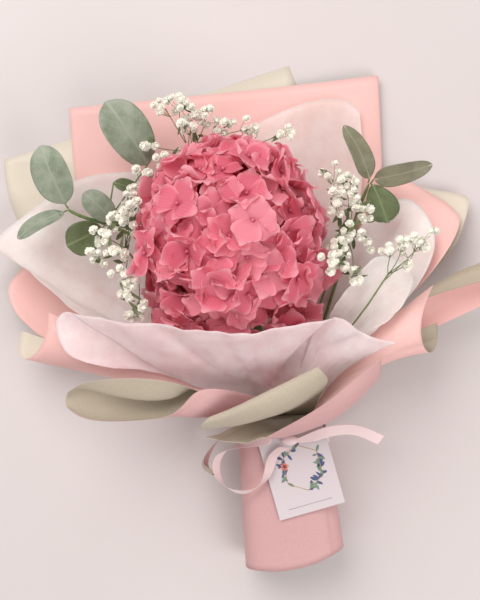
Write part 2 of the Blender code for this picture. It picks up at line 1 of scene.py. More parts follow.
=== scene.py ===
# %% [markdown]
# # A wrapped hydrangea bouquet
#
# The bouquet lies on its back on a table and the camera looks straight down on it. The solids of
# the frame give every piece its place and size. This lesson turns them into paper, tissue, petals,
# leaves and ribbon: each thin piece is lifted off its solid as one smooth skin, and the flowers are
# grown again, sepal by sepal, where the solids stand.

# %% Tools and the frame
import json
import math
import random

import bmesh
import bpy
import numpy as np
from mathutils import Matrix, Vector, noise

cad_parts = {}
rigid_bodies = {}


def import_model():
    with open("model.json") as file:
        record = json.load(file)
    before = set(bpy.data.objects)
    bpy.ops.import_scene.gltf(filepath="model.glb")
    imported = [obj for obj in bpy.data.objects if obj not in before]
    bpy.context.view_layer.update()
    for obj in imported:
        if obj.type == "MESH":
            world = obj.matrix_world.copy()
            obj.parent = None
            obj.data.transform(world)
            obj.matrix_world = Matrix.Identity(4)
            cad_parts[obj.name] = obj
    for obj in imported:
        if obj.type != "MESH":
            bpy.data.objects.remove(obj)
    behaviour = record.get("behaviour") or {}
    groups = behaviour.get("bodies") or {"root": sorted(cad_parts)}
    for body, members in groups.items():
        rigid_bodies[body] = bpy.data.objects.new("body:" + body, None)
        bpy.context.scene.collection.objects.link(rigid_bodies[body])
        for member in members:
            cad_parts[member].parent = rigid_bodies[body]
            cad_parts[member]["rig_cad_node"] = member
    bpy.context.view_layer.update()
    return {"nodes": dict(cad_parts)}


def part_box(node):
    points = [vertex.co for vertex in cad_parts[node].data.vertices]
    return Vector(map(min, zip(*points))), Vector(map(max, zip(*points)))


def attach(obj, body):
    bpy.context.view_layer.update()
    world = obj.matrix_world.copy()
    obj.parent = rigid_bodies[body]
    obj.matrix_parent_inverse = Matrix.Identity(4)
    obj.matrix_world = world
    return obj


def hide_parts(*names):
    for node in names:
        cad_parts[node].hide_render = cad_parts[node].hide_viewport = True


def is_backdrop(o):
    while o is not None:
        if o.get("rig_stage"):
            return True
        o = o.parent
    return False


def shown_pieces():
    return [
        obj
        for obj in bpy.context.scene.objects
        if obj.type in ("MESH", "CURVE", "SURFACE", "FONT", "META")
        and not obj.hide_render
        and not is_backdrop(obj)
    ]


MM = 0.001
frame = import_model()
nodes = frame["nodes"]

# %% [markdown]
# Two places are read off the frame and used everywhere. The neck is where the string ties all the
# wraps together: it is the middle of the upper end of the handle's sleeve. The head is the middle
# of the hydrangea.

# %% Landmarks
sleeve_low, sleeve_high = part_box("handle_sleeve")
tie_low, tie_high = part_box("ribbon_band")
NECK = Vector(((tie_low.x + tie_high.x) / 2, sleeve_high.y + 10 * MM, (sleeve_low.z + sleeve_high.z) / 2))
core_low, core_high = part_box("hydrangea_core")
HEAD = (core_low + core_high) / 2
HEAD_RADII = (core_high - core_low) / 2
print("neck", [round(v, 4) for v in NECK], "head", [round(v, 4) for v in HEAD])


def at(x, y, z):
    """A point given in millimetres from the foot of the neck."""
    return Vector((NECK.x + x * MM, NECK.y + y * MM, z * MM))


# %% [markdown]
# ## Materials
#
# Colours are written as the hex codes a designer would read off a paint card and turned to linear
# light by one function. One small function adds a shader node with its settings and its links, so
# that each material reads as a short list of what lies on top of what.

# %% Shader helpers
def colour(code):
    """Linear RGBA from a hex colour."""
    found = []
    for i in (1, 3, 5):
        value = int(code[i : i + 2], 16) / 255
        found.append(value / 12.92 if value <= 0.04045 else ((value + 0.055) / 1.055) ** 2.4)
    return (*found, 1.0)


def add(tree, kind, inputs=None, take=None, stops=(), **settings):
    """Adds a shader node with its settings and links. It gives back the node, or the output to take.

    An input is a number, a hex colour or the socket it is linked from. Stops are a ramp's (place, hex).
    """
    made = tree.nodes.new("ShaderNode" + kind)
    for key, value in settings.items():
        setattr(made, key, value)
    for key, value in (inputs or {}).items():
        if isinstance(value, bpy.types.NodeSocket):
            tree.links.new(value, made.inputs[key])
        else:
            made.inputs[key].default_value = colour(value) if isinstance(value, str) else value
    for _ in stops[2:]:
        made.color_ramp.elements.new(0.5)
    for spot, (place, code) in zip(made.color_ramp.elements if stops else (), stops):
        spot.position = place
        spot.color = colour(code)
    return made if take is None else made.outputs[take]


def blank(name):
    """An empty material, its node tree and its output."""
    made = bpy.data.materials.new(name)
    made.use_nodes = True
    tree = made.node_tree
    tree.nodes.clear()
    return made, tree, add(tree, "OutputMaterial")


# %% [markdown]
# ### Two-tone wrapping paper
# Florists' two-tone paper is a thin sheet printed matt on both sides, one pink and one warm
# grey-cream. Light skims over a faint felt texture of about half a millimetre, and the ink is never
# quite even, so the colour drifts by a few percent over a hand's width.

# %% Paper
def paper(name, code, deep):
    made, tree, out = blank(name)
    place = add(tree, "TexCoord", take="Object")
    drift = add(tree, "TexNoise", {"Vector": place, "Scale": 9.0, "Detail": 2.0}, "Fac")
    fleck = add(tree, "TexNoise", {"Vector": place, "Scale": 900.0, "Detail": 2.0}, "Fac")
    tint = add(tree, "Mix", {0: drift, 6: code, 7: deep}, 2, data_type="RGBA")
    speck = add(tree, "ValToRGB", {"Fac": fleck}, "Color", [(0.35, "#000000"), (0.65, "#FFFFFF")])
    tint = add(tree, "Mix", {0: 0.05, 6: tint, 7: speck}, 2, data_type="RGBA", blend_type="OVERLAY")
    pulp = add(tree, "TexNoise", {"Vector": place, "Scale": 2200.0, "Detail": 4.0}, "Fac")
    cockle = add(tree, "TexNoise", {"Vector": place, "Scale": 60.0, "Detail": 2.0}, "Fac")
    felt = add(tree, "Bump", {"Height": pulp, "Distance": 0.00004, "Strength": 0.35}, "Normal")
    felt = add(tree, "Bump", {"Height": cockle, "Distance": 0.0006, "Strength": 0.25, "Normal": felt},
               "Normal")
    skin = add(tree, "BsdfPrincipled", {"Base Color": tint, "Roughness": 0.5, "Normal": felt})
    skin.inputs["IOR"].default_value = 1.48
    skin.inputs["Specular IOR Level"].default_value = 0.35
    skin.inputs["Sheen Weight"].default_value = 0.08
    glow = add(tree, "BsdfTranslucent", {"Color": tint, "Normal": felt})
    both = add(tree, "MixShader", {"Fac": 0.12, 1: skin.outputs[0], 2: glow.outputs[0]})
    tree.links.new(both.outputs[0], out.inputs["Surface"])
    return made


PINK = paper("two-tone paper, pink side", "#FBD0C9", "#F7C2BD")
CREAM = paper("two-tone paper, cream side", "#EBE2D2", "#E3D8C4")
# The next two are the same pink and cream sides painted darker. This is painted shade for the outer wraps,
# collars, band and handle, which face away from the light.
SHADED_PINK = paper("two-tone paper, pink side in painted shade", "#DDB2B0", "#D3A5A5")
SHADED_CREAM = paper("two-tone paper, cream side in painted shade", "#C8BDAB", "#B9AC96")

# %% [markdown]
# ### Non-woven tissue
# The white inner wrap is spun-bonded fibre, not woven cloth. Long random fibres cross at all angles,
# so held to the light it shows a faint cloudy net, drawn here about a millimetre wide so that it
# shows at all. Part of the light passes through, and one layer shows a third of what is behind it.

# %% Tissue
def fibres(tree, turn, place):
    """Stretched noise turned in the sheet: one family of long threads about a millimetre wide."""
    turned = add(tree, "Mapping", {"Vector": place, "Rotation": (0, 0, turn),
                                   "Scale": (1 / 75, 1 / 900, 1 / 75)}, vector_type="TEXTURE")
    strand = add(tree, "TexNoise", {"Vector": turned.outputs[0], "Scale": 1.0, "Detail": 2.0})
    return strand.outputs["Fac"]


def tissue(name, code, thin, see_through):
    made, tree, out = blank(name)
    place = add(tree, "TexCoord", take="Object")
    web = fibres(tree, 0.3, place)
    for turn in (1.35, 2.4):
        web = add(tree, "Math", {0: web, 1: fibres(tree, turn, place)}, 0, operation="MAXIMUM")
    cloud = add(tree, "TexNoise", {"Vector": place, "Scale": 45.0, "Detail": 4.0, "Roughness": 0.6}, "Fac")
    body = add(tree, "Math", {0: web, 1: 0.45}, 0, operation="MULTIPLY")
    body = add(tree, "Math", {0: cloud, 1: body}, 0, operation="ADD")
    thick_here = add(tree, "ValToRGB", {"Fac": body}, "Color", [(0.55, "#000000"), (0.92, "#FFFFFF")])
    tint = add(tree, "Mix", {0: thick_here, 6: thin, 7: code}, 2, data_type="RGBA")
    relief = add(tree, "Bump", {"Height": web, "Distance": 0.0001, "Strength": 0.35}, "Normal")
    crumple = add(tree, "TexNoise", {"Vector": place, "Scale": 110.0, "Detail": 4.0, "Roughness": 0.6}, "Fac")
    relief = add(tree, "Bump", {"Height": crumple, "Distance": 0.0007, "Strength": 0.35, "Normal": relief},
                 "Normal")
    skin = add(tree, "BsdfPrincipled", {"Base Color": tint, "Roughness": 0.7, "Normal": relief})
    skin.inputs["Sheen Weight"].default_value = 0.2
    skin.inputs["Specular IOR Level"].default_value = 0.3
    glow = add(tree, "BsdfTranslucent", {"Color": tint, "Normal": relief})
    cloth = add(tree, "MixShader", {"Fac": 0.4, 1: skin.outputs[0], 2: glow.outputs[0]})
    gap = add(tree, "MapRange", {"Value": body, 1: 0.5, 2: 0.95, 3: see_through * 1.1, 4: see_through * 0.9})
    clear = add(tree, "BsdfTransparent")
    both = add(tree, "MixShader", {"Fac": gap.outputs[0], 1: cloth.outputs[0], 2: clear.outputs[0]})
    tree.links.new(both.outputs[0], out.inputs["Surface"])
    return made


TISSUE = tissue("non-woven tissue, white", "#FFFDFC", "#FAF1ED", 0.13)
THIN_TISSUE = tissue("non-woven tissue, one layer", "#FFFAF8", "#FBEEE9", 0.32)
# The front tissue is the same white tissue, tinted pink and made less see-through. The pink is painted light: it
# stands for the pink paper and petals behind showing through it.
SHOW_THROUGH_TISSUE = tissue("non-woven tissue, painted pink show-through", "#FFF7F7", "#FBE8E9", 0.07)


# %% [markdown]
# ### Sepals
# What look like hydrangea petals are sepals. Each is soft and matt, deep rose at the claw and
# paler towards its edge, with fine veins that fan out from the claw. Light passes through them, and the
# gaps of the head show crimson instead of black, partly through them and partly from the painted shade
# of the dark heart behind. The mesh stores how far a point is along
# (U) and across (V) its sepal, and "tone" makes each flower a little lighter or darker.

# %% Sepals
def petal_skin(name, claw, middle, edge):
    made, tree, out = blank(name)
    place = add(tree, "TexCoord", take="Object")
    uv = add(tree, "SeparateXYZ", {0: add(tree, "UVMap", take=0, uv_map="along")})
    along, across = uv.outputs[0], uv.outputs[1]
    base = add(tree, "ValToRGB", {"Fac": along}, "Color",
               [(0.0, claw), (0.22, middle), (0.68, middle), (1.0, edge)])
    off = add(tree, "Math", {0: across, 1: 0.5}, 0, operation="SUBTRACT")
    off = add(tree, "Math", {0: off}, 0, operation="ABSOLUTE")
    rim = add(tree, "MapRange", {"Value": off, 1: 0.34, 2: 0.5, 3: 0.0, 4: 0.7}, 0)
    base = add(tree, "Mix", {0: rim, 6: base, 7: edge}, 2, data_type="RGBA")
    waver = add(tree, "TexNoise", {"Vector": place, "Scale": 140.0, "Detail": 2.0}, "Fac")
    wobble = add(tree, "Math", {0: waver, 1: 0.09}, 0, operation="MULTIPLY")
    fan = add(tree, "Math", {0: across, 1: wobble}, 0, operation="ADD")
    fan = add(tree, "Math", {0: fan, 1: 62.0}, 0, operation="MULTIPLY")
    vein = add(tree, "Math", {0: fan}, 0, operation="SINE")
    vein = add(tree, "MapRange", {"Value": vein, 1: 0.55, 2: 1.0, 3: 0.0, 4: 1.0}, 0)
    faint = add(tree, "Math", {0: vein, 1: 0.2}, 0, operation="MULTIPLY")
    base = add(tree, "Mix", {0: faint, 6: base, 7: claw}, 2, data_type="RGBA")
    tone = add(tree, "Attribute", take="Fac", attribute_name="tone")
    paler = add(tree, "Math", {0: tone, 1: 0.6}, 0, operation="MULTIPLY")
    base = add(tree, "Mix", {0: paler, 6: base, 7: edge}, 2, data_type="RGBA")
    patch = add(tree, "TexNoise", {"Vector": place, "Scale": 55.0, "Detail": 3.0}, "Fac")
    flush = add(tree, "MapRange", {"Value": patch, 1: 0.4, 2: 0.75, 3: 0.0, 4: 0.3}, 0)
    base = add(tree, "Mix", {0: flush, 6: base, 7: middle}, 2, data_type="RGBA")
    relief = add(tree, "Bump", {"Height": vein, "Distance": 0.00012, "Strength": 0.5}, "Normal")
    cells = add(tree, "TexNoise", {"Vector": place, "Scale": 420.0, "Detail": 3.0}, "Fac")
    relief = add(tree, "Bump", {"Height": cells, "Distance": 0.00015, "Strength": 0.3, "Normal": relief},
                 "Normal")
    skin = add(tree, "BsdfPrincipled", {"Base Color": base, "Roughness": 0.55, "Normal": relief})
    skin.inputs["Specular IOR Level"].default_value = 0.32
    skin.inputs["Sheen Weight"].default_value = 0.15
    glow = add(tree, "BsdfTranslucent", {"Color": base, "Normal": relief})
    both = add(tree, "MixShader", {"Fac": 0.34, 1: skin.outputs[0], 2: glow.outputs[0]})
    tree.links.new(both.outputs[0], out.inputs["Surface"])
    return made


SEPAL = petal_skin("hydrangea sepal", "#C93858", "#EE7A90", "#FFBCC7")

# %% [markdown]
# ### Leaves, stems and small flowers
# Silver-dollar eucalyptus leaves are leathery and carry a pale wax bloom that rubs off in patches.
# The midrib is lighter and a few curved veins leave it. Baby's breath has chalk-white double
# blossoms with a green eye, on stems barely half a millimetre thick.

# %% Leaf and stem skins
def leaf_skin(name, wax, green, rib):
    made, tree, out = blank(name)
    place = add(tree, "TexCoord", take="Object")
    uv = add(tree, "SeparateXYZ", {0: add(tree, "UVMap", take=0, uv_map="along")})
    along, across = uv.outputs[0], uv.outputs[1]
    off = add(tree, "Math", {0: across, 1: 0.5}, 0, operation="SUBTRACT")
    off = add(tree, "Math", {0: off}, 0, operation="ABSOLUTE")
    bloom = add(tree, "TexNoise", {"Vector": place, "Scale": 75.0, "Detail": 5.0, "Roughness": 0.65}, "Fac")
    waxy = add(tree, "ValToRGB", {"Fac": bloom}, "Color", [(0.3, "#000000"), (0.68, "#FFFFFF")])
    base = add(tree, "Mix", {0: waxy, 6: green, 7: wax}, 2, data_type="RGBA")
    slant = add(tree, "Math", {0: off, 1: -1.1}, 0, operation="MULTIPLY")
    slant = add(tree, "Math", {0: along, 1: slant}, 0, operation="ADD")
    slant = add(tree, "Math", {0: slant, 1: 58.0}, 0, operation="MULTIPLY")
    side = add(tree, "Math", {0: slant}, 0, operation="SINE")
    side = add(tree, "MapRange", {"Value": side, 1: 0.86, 2: 1.0, 3: 0.0, 4: 0.35}, 0)
    midrib = add(tree, "MapRange", {"Value": off, 1: 0.012, 2: 0.035, 3: 1.0, 4: 0.0}, 0)
    veins = add(tree, "Math", {0: midrib, 1: side}, 0, operation="MAXIMUM")
    base = add(tree, "Mix", {0: veins, 6: base, 7: rib}, 2, data_type="RGBA")
    edge = add(tree, "MapRange", {"Value": off, 1: 0.46, 2: 0.5, 3: 0.0, 4: 0.5}, 0)
    base = add(tree, "Mix", {0: edge, 6: base, 7: rib}, 2, data_type="RGBA")
    relief = add(tree, "Bump", {"Height": veins, "Distance": 0.0003, "Strength": 0.6}, "Normal")
    leather = add(tree, "TexNoise", {"Vector": place, "Scale": 300.0, "Detail": 4.0}, "Fac")
    relief = add(tree, "Bump", {"Height": leather, "Distance": 0.0002, "Strength": 0.3, "Normal": relief},
                 "Normal")
    skin = add(tree, "BsdfPrincipled", {"Base Color": base, "Roughness": 0.52, "Normal": relief})
    skin.inputs["Coat Weight"].default_value = 0.12
    skin.inputs["Coat Roughness"].default_value = 0.4
    skin.inputs["Sheen Weight"].default_value = 0.1
    glow = add(tree, "BsdfTranslucent", {"Color": base, "Normal": relief})
    both = add(tree, "MixShader", {"Fac": 0.12, 1: skin.outputs[0], 2: glow.outputs[0]})
    tree.links.new(both.outputs[0], out.inputs["Surface"])
    return made


def plain_skin(name, code, deep, rough, scale, depth):
    """A matt skin whose colour drifts between two codes, with a fine relief."""
    made, tree, out = blank(name)
    place = add(tree, "TexCoord", take="Object")
    grain = add(tree, "TexNoise", {"Vector": place, "Scale": scale, "Detail": 4.0}, "Fac")
    drift = add(tree, "ValToRGB", {"Fac": grain}, "Color", [(0.3, "#000000"), (0.7, "#FFFFFF")])
    tint = add(tree, "Mix", {0: drift, 6: code, 7: deep}, 2, data_type="RGBA")
    relief = add(tree, "Bump", {"Height": grain, "Distance": depth, "Strength": 0.4}, "Normal")
    skin = add(tree, "BsdfPrincipled", {"Base Color": tint, "Roughness": rough, "Normal": relief})
    tree.links.new(skin.outputs[0], out.inputs["Surface"])
    return made


LEAF = leaf_skin("eucalyptus leaf, pale wax", "#A3AC99", "#75836B", "#A2AB95")
DARK_LEAF = leaf_skin("eucalyptus leaf, bare green", "#6F7C55", "#4E5B30", "#7F8A62")
OLIVE_LEAF = leaf_skin("eucalyptus leaf, olive", "#928F76", "#6F6E52", "#9A9880")
STEM = plain_skin("green stem", "#7C8F55", "#5D7340", 0.5, 350.0, 0.0002)
WIRE_STEM = plain_skin("baby's breath stem", "#84935C", "#66784A", 0.6, 500.0, 0.0001)
BLOSSOM = plain_skin("baby's breath blossom", "#FFFEF8", "#F8F5E6", 0.7, 900.0, 0.0001)
GREENS = plain_skin("narrow green leaves", "#6E7A4C", "#4F5A33", 0.55, 300.0, 0.0002)
EYE = plain_skin("blossom eye", "#C9CF9C", "#AEB97C", 0.7, 900.0, 0.0001)
BUD = plain_skin("sepal bud", "#D97C96", "#BF4A6C", 0.5, 900.0, 0.0002)


# %% [markdown]
# ### Ribbon and card
# The ribbon is narrow satin: warp threads lie along it, so its sheen runs across. The card is a
# smooth uncoated board.

# %% Ribbon and card skins
def satin(name, code, deep):
    made, tree, out = blank(name)
    uv = add(tree, "UVMap", take=0, uv_map="along")
    rib = add(tree, "Mapping", {"Vector": uv, "Scale": (4.0, 90.0, 1.0)}, 0)
    thread = add(tree, "TexNoise", {"Vector": rib, "Scale": 1.0, "Detail": 2.0}, "Fac")
    tint = add(tree, "Mix", {0: thread, 6: code, 7: deep}, 2, data_type="RGBA")
    relief = add(tree, "Bump", {"Height": thread, "Distance": 0.0001, "Strength": 0.4}, "Normal")
    skin = add(tree, "BsdfPrincipled", {"Base Color": tint, "Roughness": 0.36, "Normal": relief})
    skin.inputs["Sheen Weight"].default_value = 0.4
    skin.inputs["Anisotropic"].default_value = 0.5
    tree.links.new(skin.outputs[0], out.inputs["Surface"])
    return made


RIBBON = satin("pink satin ribbon", "#EFDAD8", "#E6C9CA")
BOARD = plain_skin("white card board", "#D6CCCF", "#CFC4C8", 0.6, 1500.0, 0.00005)
GOLD = plain_skin("gold ink", "#C7A35A", "#B08A45", 0.35, 800.0, 0.00002)
NAVY = plain_skin("navy ink", "#3E4A6B", "#55618A", 0.6, 300.0, 0.00002)
GREEN_INK = plain_skin("green ink", "#7E9A86", "#5F7F6C", 0.6, 300.0, 0.00002)
CORAL = plain_skin("coral ink", "#E08A7C", "#D3705F", 0.6, 300.0, 0.00002)
GREY_INK = plain_skin("grey ink", "#A9A4A6", "#A19B9D", 0.6, 300.0, 0.00002)


# %% [markdown]
# ## Putting a built mesh on the body
#
# Every mesh that is built here becomes an object in the same way, and rides on the one body.

# %% Standing
def standing(made, name, skins=(), replaced=()):
    """Turns a bmesh into an object on the body, which stands for the frame's nodes it replaces."""
    mesh = bpy.data.meshes.new(name)
    made.to_mesh(mesh)
    made.free()
    for skin in skins:
        mesh.materials.append(skin)
    obj = bpy.data.objects.new(name, mesh)
    bpy.context.scene.collection.objects.link(obj)
    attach(obj, "root")
    for node in replaced:
        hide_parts(node)
    return obj


# %% [markdown]
# ## Lifting a sheet off its solid
#
# A wrap in the frame is a closed solid with a front, a back and a narrow rim. Only one skin is
# wanted. The rim is found by its edges, which are as short as the sheet is thick. Without the rim
# the solid falls into two skins, and the one that faces out at the tied neck is kept. The skin's
# triangles are paired into squares again and subdivided, which gives paper its smooth long curves
# while the corners stay sharp.

# %% Skins
def skins_of(name, thickness):
    """The solid's two open skins, as a list of bmeshes."""
    whole = bmesh.new()
    whole.from_mesh(nodes[name].data)
    bmesh.ops.remove_doubles(whole, verts=whole.verts, dist=1e-6)
    short = thickness * MM * 1.06
    rim = {f for e in whole.edges if e.calc_length() < short for f in e.link_faces}
    bmesh.ops.delete(whole, geom=list(rim), context="FACES")
    found, left = [], set(whole.faces)
    while left:
        group, queue = set(), [next(iter(left))]
        while queue:
            face = queue.pop()
            if face in group:
                continue
            group.add(face)
            queue += [f for e in face.edges for f in e.link_faces if f not in group]
        left -= group
        found.append(group)
    found = sorted(found, key=len)[-2:]
    made = []
    for group in found:
        copy = bmesh.new()
        index = {}
        for face in sorted(group, key=lambda f: f.index):
            corners = []
            for vertex in face.verts:
                if vertex.index not in index:
                    index[vertex.index] = copy.verts.new(vertex.co)
                corners.append(index[vertex.index])
            copy.faces.new(corners)
        copy.normal_update()
        made.append(copy)
    whole.free()
    return made


def reach_from_neck(skin):
    """Mean distance of a wrap's tail, or of the sleeve, from the line through the neck."""
    tail = [v.co for v in skin.verts if v.co.y < NECK.y - 2 * MM]
    return sum(math.hypot(p.x - NECK.x, p.z - NECK.z) for p in tail) / max(len(tail), 1)


def faces_up(skin):
    return sum(f.normal.z * f.calc_area() for f in skin.faces)


def subdivide(obj, levels):
    """Catmull-Clark levels with sharp corners, applied to the mesh."""
    smooth = obj.modifiers.new("Smooth", "SUBSURF")
    smooth.levels = smooth.render_levels = levels
    smooth.boundary_smooth = "PRESERVE_CORNERS"
    seen = obj.evaluated_get(bpy.context.evaluated_depsgraph_get())
    made = bpy.data.meshes.new_from_object(seen)
    obj.modifiers.clear()
    old, obj.data = obj.data, made
    bpy.data.meshes.remove(old)


def lifted(name, thickness, levels, choose=reach_from_neck):
    """A new object with the chosen skin of a solid, smooth and facing out."""
    skins = sorted(skins_of(name, thickness), key=choose)
    skin = skins[-1]
    bmesh.ops.join_triangles(skin, faces=skin.faces, angle_face_threshold=3.1, angle_shape_threshold=3.1)
    mesh = bpy.data.meshes.new(name + "_fine")
    skin.to_mesh(mesh)
    for each in skins:
        each.free()
    obj = bpy.data.objects.new(name + "_fine", mesh)
    bpy.context.scene.collection.objects.link(obj)
    subdivide(obj, levels)
    obj.data.shade_smooth()
    return obj


def thick(obj, thickness, outer, inner):
    """Gives a skin its real thickness, with one colour on each side."""
    obj.data.materials.clear()
    obj.data.materials.append(outer)
    obj.data.materials.append(inner)
    solid = obj.modifiers.new("Thickness", "SOLIDIFY")
    solid.thickness = thickness * MM
    solid.offset = -1
    solid.material_offset = 1
    solid.material_offset_rim = 1
    return obj


def faces_up_total(obj):
    """Positive where a skin's normals look up on the whole."""
    return sum(p.normal.z * p.area for p in obj.data.polygons)


def welded(name, levels, skin):
    """A smooth copy of a whole solid, which takes its place."""
    made = bmesh.new()
    made.from_mesh(nodes[name].data)
    bmesh.ops.remove_doubles(made, verts=made.verts, dist=1e-6)
    obj = standing(made, name + "_fine", replaced=[name])
    subdivide(obj, levels)
    obj.data.shade_smooth()
    obj.data.materials.clear()
    obj.data.materials.append(skin)
    return obj


def area_of(obj):
    return sum(p.area for p in obj.data.polygons)


# %% [markdown]
# ## Wraps
#
# Paper that is pinched at a tie fans out in soft pleats. They are deepest just past the tie and run
# out before the rim, so the skin is moved along its normal by a noise that depends on the direction
# from the neck. On top of that paper keeps long lazy waves, and tissue, which is limp, crumples in
# folds of one to three centimetres.

# %% Pleats and crumples
def shaped(obj, pleats, waves, crumple, seed):
    """Moves a skin along its normals: pleats from the tie, long waves and crumples, in millimetres."""
    mesh = obj.data
    moves = []
    for vertex in mesh.vertices:
        away = vertex.co - NECK
        flat = math.hypot(away.x, away.y)
        turn = math.atan2(away.x, away.y) if away.y > 0 or flat > 60 * MM else math.atan2(away.x, away.z)
        past = max(0.0, min(1.0, (away.length / MM - 36) / 30))
        fade = past * math.exp(-away.length / (110 * MM))
        fold = noise.noise(Vector((turn * 7 + seed, away.length * 5, seed * 3.1)))
        fine = noise.noise(Vector((turn * 19 + seed, away.length * 9, seed * 1.7)))
        long_wave = noise.noise(vertex.co * 14 + Vector((seed, 0, 0)))
        ridges = 1 - 2 * abs(noise.noise(vertex.co * 34 + Vector((0, seed, 0))))
        small = noise.noise(vertex.co * 95 + Vector((0, 0, seed)))
        pleat = pleats * fade * (1.6 * fold + 0.7 * fine)
        total = pleat + past * (waves * long_wave + crumple * (ridges * 0.6 + 0.4 * small))
        moves.append(vertex.co + vertex.normal * total * MM)
    for vertex, place in zip(mesh.vertices, moves):
        place.z = max(place.z, 0.0)
        vertex.co = place
    mesh.update()


# Creases in millimetres from the neck: start, end, depth, and how far each side falls away. A crease
# drops steeply on its left and comes back gently on its right.
creases = {
    "tissue_front": [((35, 84), (-4, 42), -15, 2.4, 12), ((-70, 92), (-36, 44), -3, 6, 9),
                     ((-112, 84), (-66, 46), -3.5, 4, 10), ((-12, 82), (-16, 56), -2.5, 7, 7),
                     ((64, 76), (22, 54), -3.5, 3, 8), ((-150, 90), (-96, 58), 3, 5, 8)],
    "tissue_left": [((-190, 212), (-90, 90), -4, 5, 14), ((-236, 160), (-110, 76), -4, 6, 14),
                    ((-180, 120), (-100, 66), 3, 5, 12)],
    "tissue_right_inner": [((96, 130), (52, 78), -4, 3, 9), ((74, 118), (46, 84), 3, 3, 6),
                           ((118, 112), (66, 72), -3, 3, 8)],
    "tissue_right_outer": [((140, 180), (76, 84), -4, 5, 12), ((112, 184), (66, 90), 2.5, 5, 9)],
    "tissue_back": [((20, 250), (-10, 150), 1.5, 4, 14), ((60, 240), (40, 140), -1.5, 4, 12)],
    "front_collar_under": [((-10, -8), (30, 14), 4, 2, 6), ((-34, -14), (12, 2), 3, 2, 6)],
    "front_collar_sage": [((-44, -2), (8, 24), 1.5, 3, 8)],
    "left_sheet_front": [((-190, 84), (-120, 44), -2, 3, 8)],
    "right_sheet_low": [((140, 70), (96, 58), -2, 3, 8)],
    "handle_sleeve": [((30, -14), (46, -132), 1.2, 1.0, 9)],
}


def creased(obj, folds):
    """Folds a skin along straight lines seen from above."""
    shift = [Vector() for _ in obj.data.vertices]
    for (x0, y0), (x1, y1), depth, steep, gentle in folds:
        start, end = at(x0, y0, 0).to_2d(), at(x1, y1, 0).to_2d()
        line = end - start
        for place, vertex in zip(shift, obj.data.vertices):
            away = vertex.co.to_2d() - start
            part = max(0.0, min(1.0, away.dot(line) / line.length_squared))
            aside = (away - line * part).length / MM
            if aside > 4 * gentle or vertex.co.y > NECK.y - 4 * MM and (vertex.co - NECK).length < 40 * MM:
                continue
            left = line.x * away.y - line.y * away.x < 0
            fall = math.exp(-((aside / (steep if left else gentle)) ** 1.3))
            ends = math.sin(math.pi * (0.12 + 0.76 * part)) if 0 < part < 1 else 0.37
            place += vertex.normal * depth * fall * ends * MM
    for move, vertex in zip(shift, obj.data.vertices):
        vertex.co += move
        vertex.co.z = max(vertex.co.z, 0.0)
    obj.data.update()


PAPER_MM, TISSUE_MM = 0.5, 0.4  # how thick the frame's solids are
PAPER_SHEET_MM, TISSUE_SHEET_MM = 0.2, 0.12  # how thick the finished sheets are
wraps = {
    # name: (solid thickness, outer, inner, pleats, waves, crumple, levels)
    "back_sheet_cream": (PAPER_MM, PINK, CREAM, 0.0, 0.0, 0.0, 2),
    "back_sheet_pink": (PAPER_MM, CREAM, PINK, 1.0, 0.8, 0.0, 3),
    "tissue_back": (TISSUE_MM, THIN_TISSUE, THIN_TISSUE, 1.4, 1.6, 0.9, 3),
    "tissue_left": (TISSUE_MM, TISSUE, TISSUE, 3.0, 2.4, 2.0, 3),
    "left_sheet_rear": (PAPER_MM, CREAM, PINK, 1.5, 1.2, 0.0, 3),
    "left_sheet_front": (PAPER_MM, PINK, CREAM, 2.2, 1.0, 0.0, 3),
    "right_sheet_cream": (PAPER_MM, PINK, CREAM, 0.6, 0.8, 0.0, 3),
    "right_sheet_high": (PAPER_MM, CREAM, PINK, 1.5, 1.2, 0.0, 3),
    "right_sheet_low": (PAPER_MM, PINK, SHADED_CREAM, 2.2, 0.8, 0.0, 3),
    "right_curl": (PAPER_MM, SHADED_CREAM, PINK, 1.0, 0.8, 0.0, 3),
    "tissue_right_outer": (TISSUE_MM, TISSUE, TISSUE, 2.4, 2.0, 1.6, 3),
    "tissue_right_inner": (TISSUE_MM, TISSUE, TISSUE, 2.6, 2.2, 2.4, 3),
    "tissue_front": (TISSUE_MM, SHOW_THROUGH_TISSUE, SHOW_THROUGH_TISSUE, 2.0, 2.4, 2.2, 3),
    "tissue_front_curl": (TISSUE_MM, SHOW_THROUGH_TISSUE, SHOW_THROUGH_TISSUE, 1.6, 1.2, 1.0, 3),
    "front_left_collar": (PAPER_MM, SHADED_PINK, SHADED_CREAM, 0.5, 0.4, 0.0, 3),
    "front_collar_sage": (PAPER_MM, SHADED_CREAM, SHADED_PINK, 0.3, 0.5, 0.0, 3),
    "front_collar_under": (PAPER_MM, SHADED_PINK, CREAM, 2.5, 1.6, 0.9, 3),
    "front_band": (PAPER_MM, SHADED_PINK, SHADED_CREAM, 0.4, 0.4, 0.0, 3),
    "handle_sleeve": (PAPER_MM, SHADED_PINK, SHADED_CREAM, 0.0, 0.5, 0.0, 2),
}
made_wraps = {}
for number, (name, (solid, outer, inner, pleats, waves, crumple, levels)) in enumerate(wraps.items()):
    piece = lifted(name, solid, levels)
    if pleats or waves or crumple:
        shaped(piece, pleats, waves, crumple, seed=number * 2.3 + 1)
    if name in creases:
        faces_camera = faces_up_total(piece) > 0
        creased(piece,
                [(a, b, depth if faces_camera else -depth, c, d) for a, b, depth, c, d in creases[name]])
    thick(piece, TISSUE_SHEET_MM if solid == TISSUE_MM else PAPER_SHEET_MM, outer, inner)
    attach(piece, "root")
    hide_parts(name)
    made_wraps[name] = piece
    print(f"{name}: {area_of(piece) * 1e4:.0f} cm2, {len(piece.data.polygons)} faces")

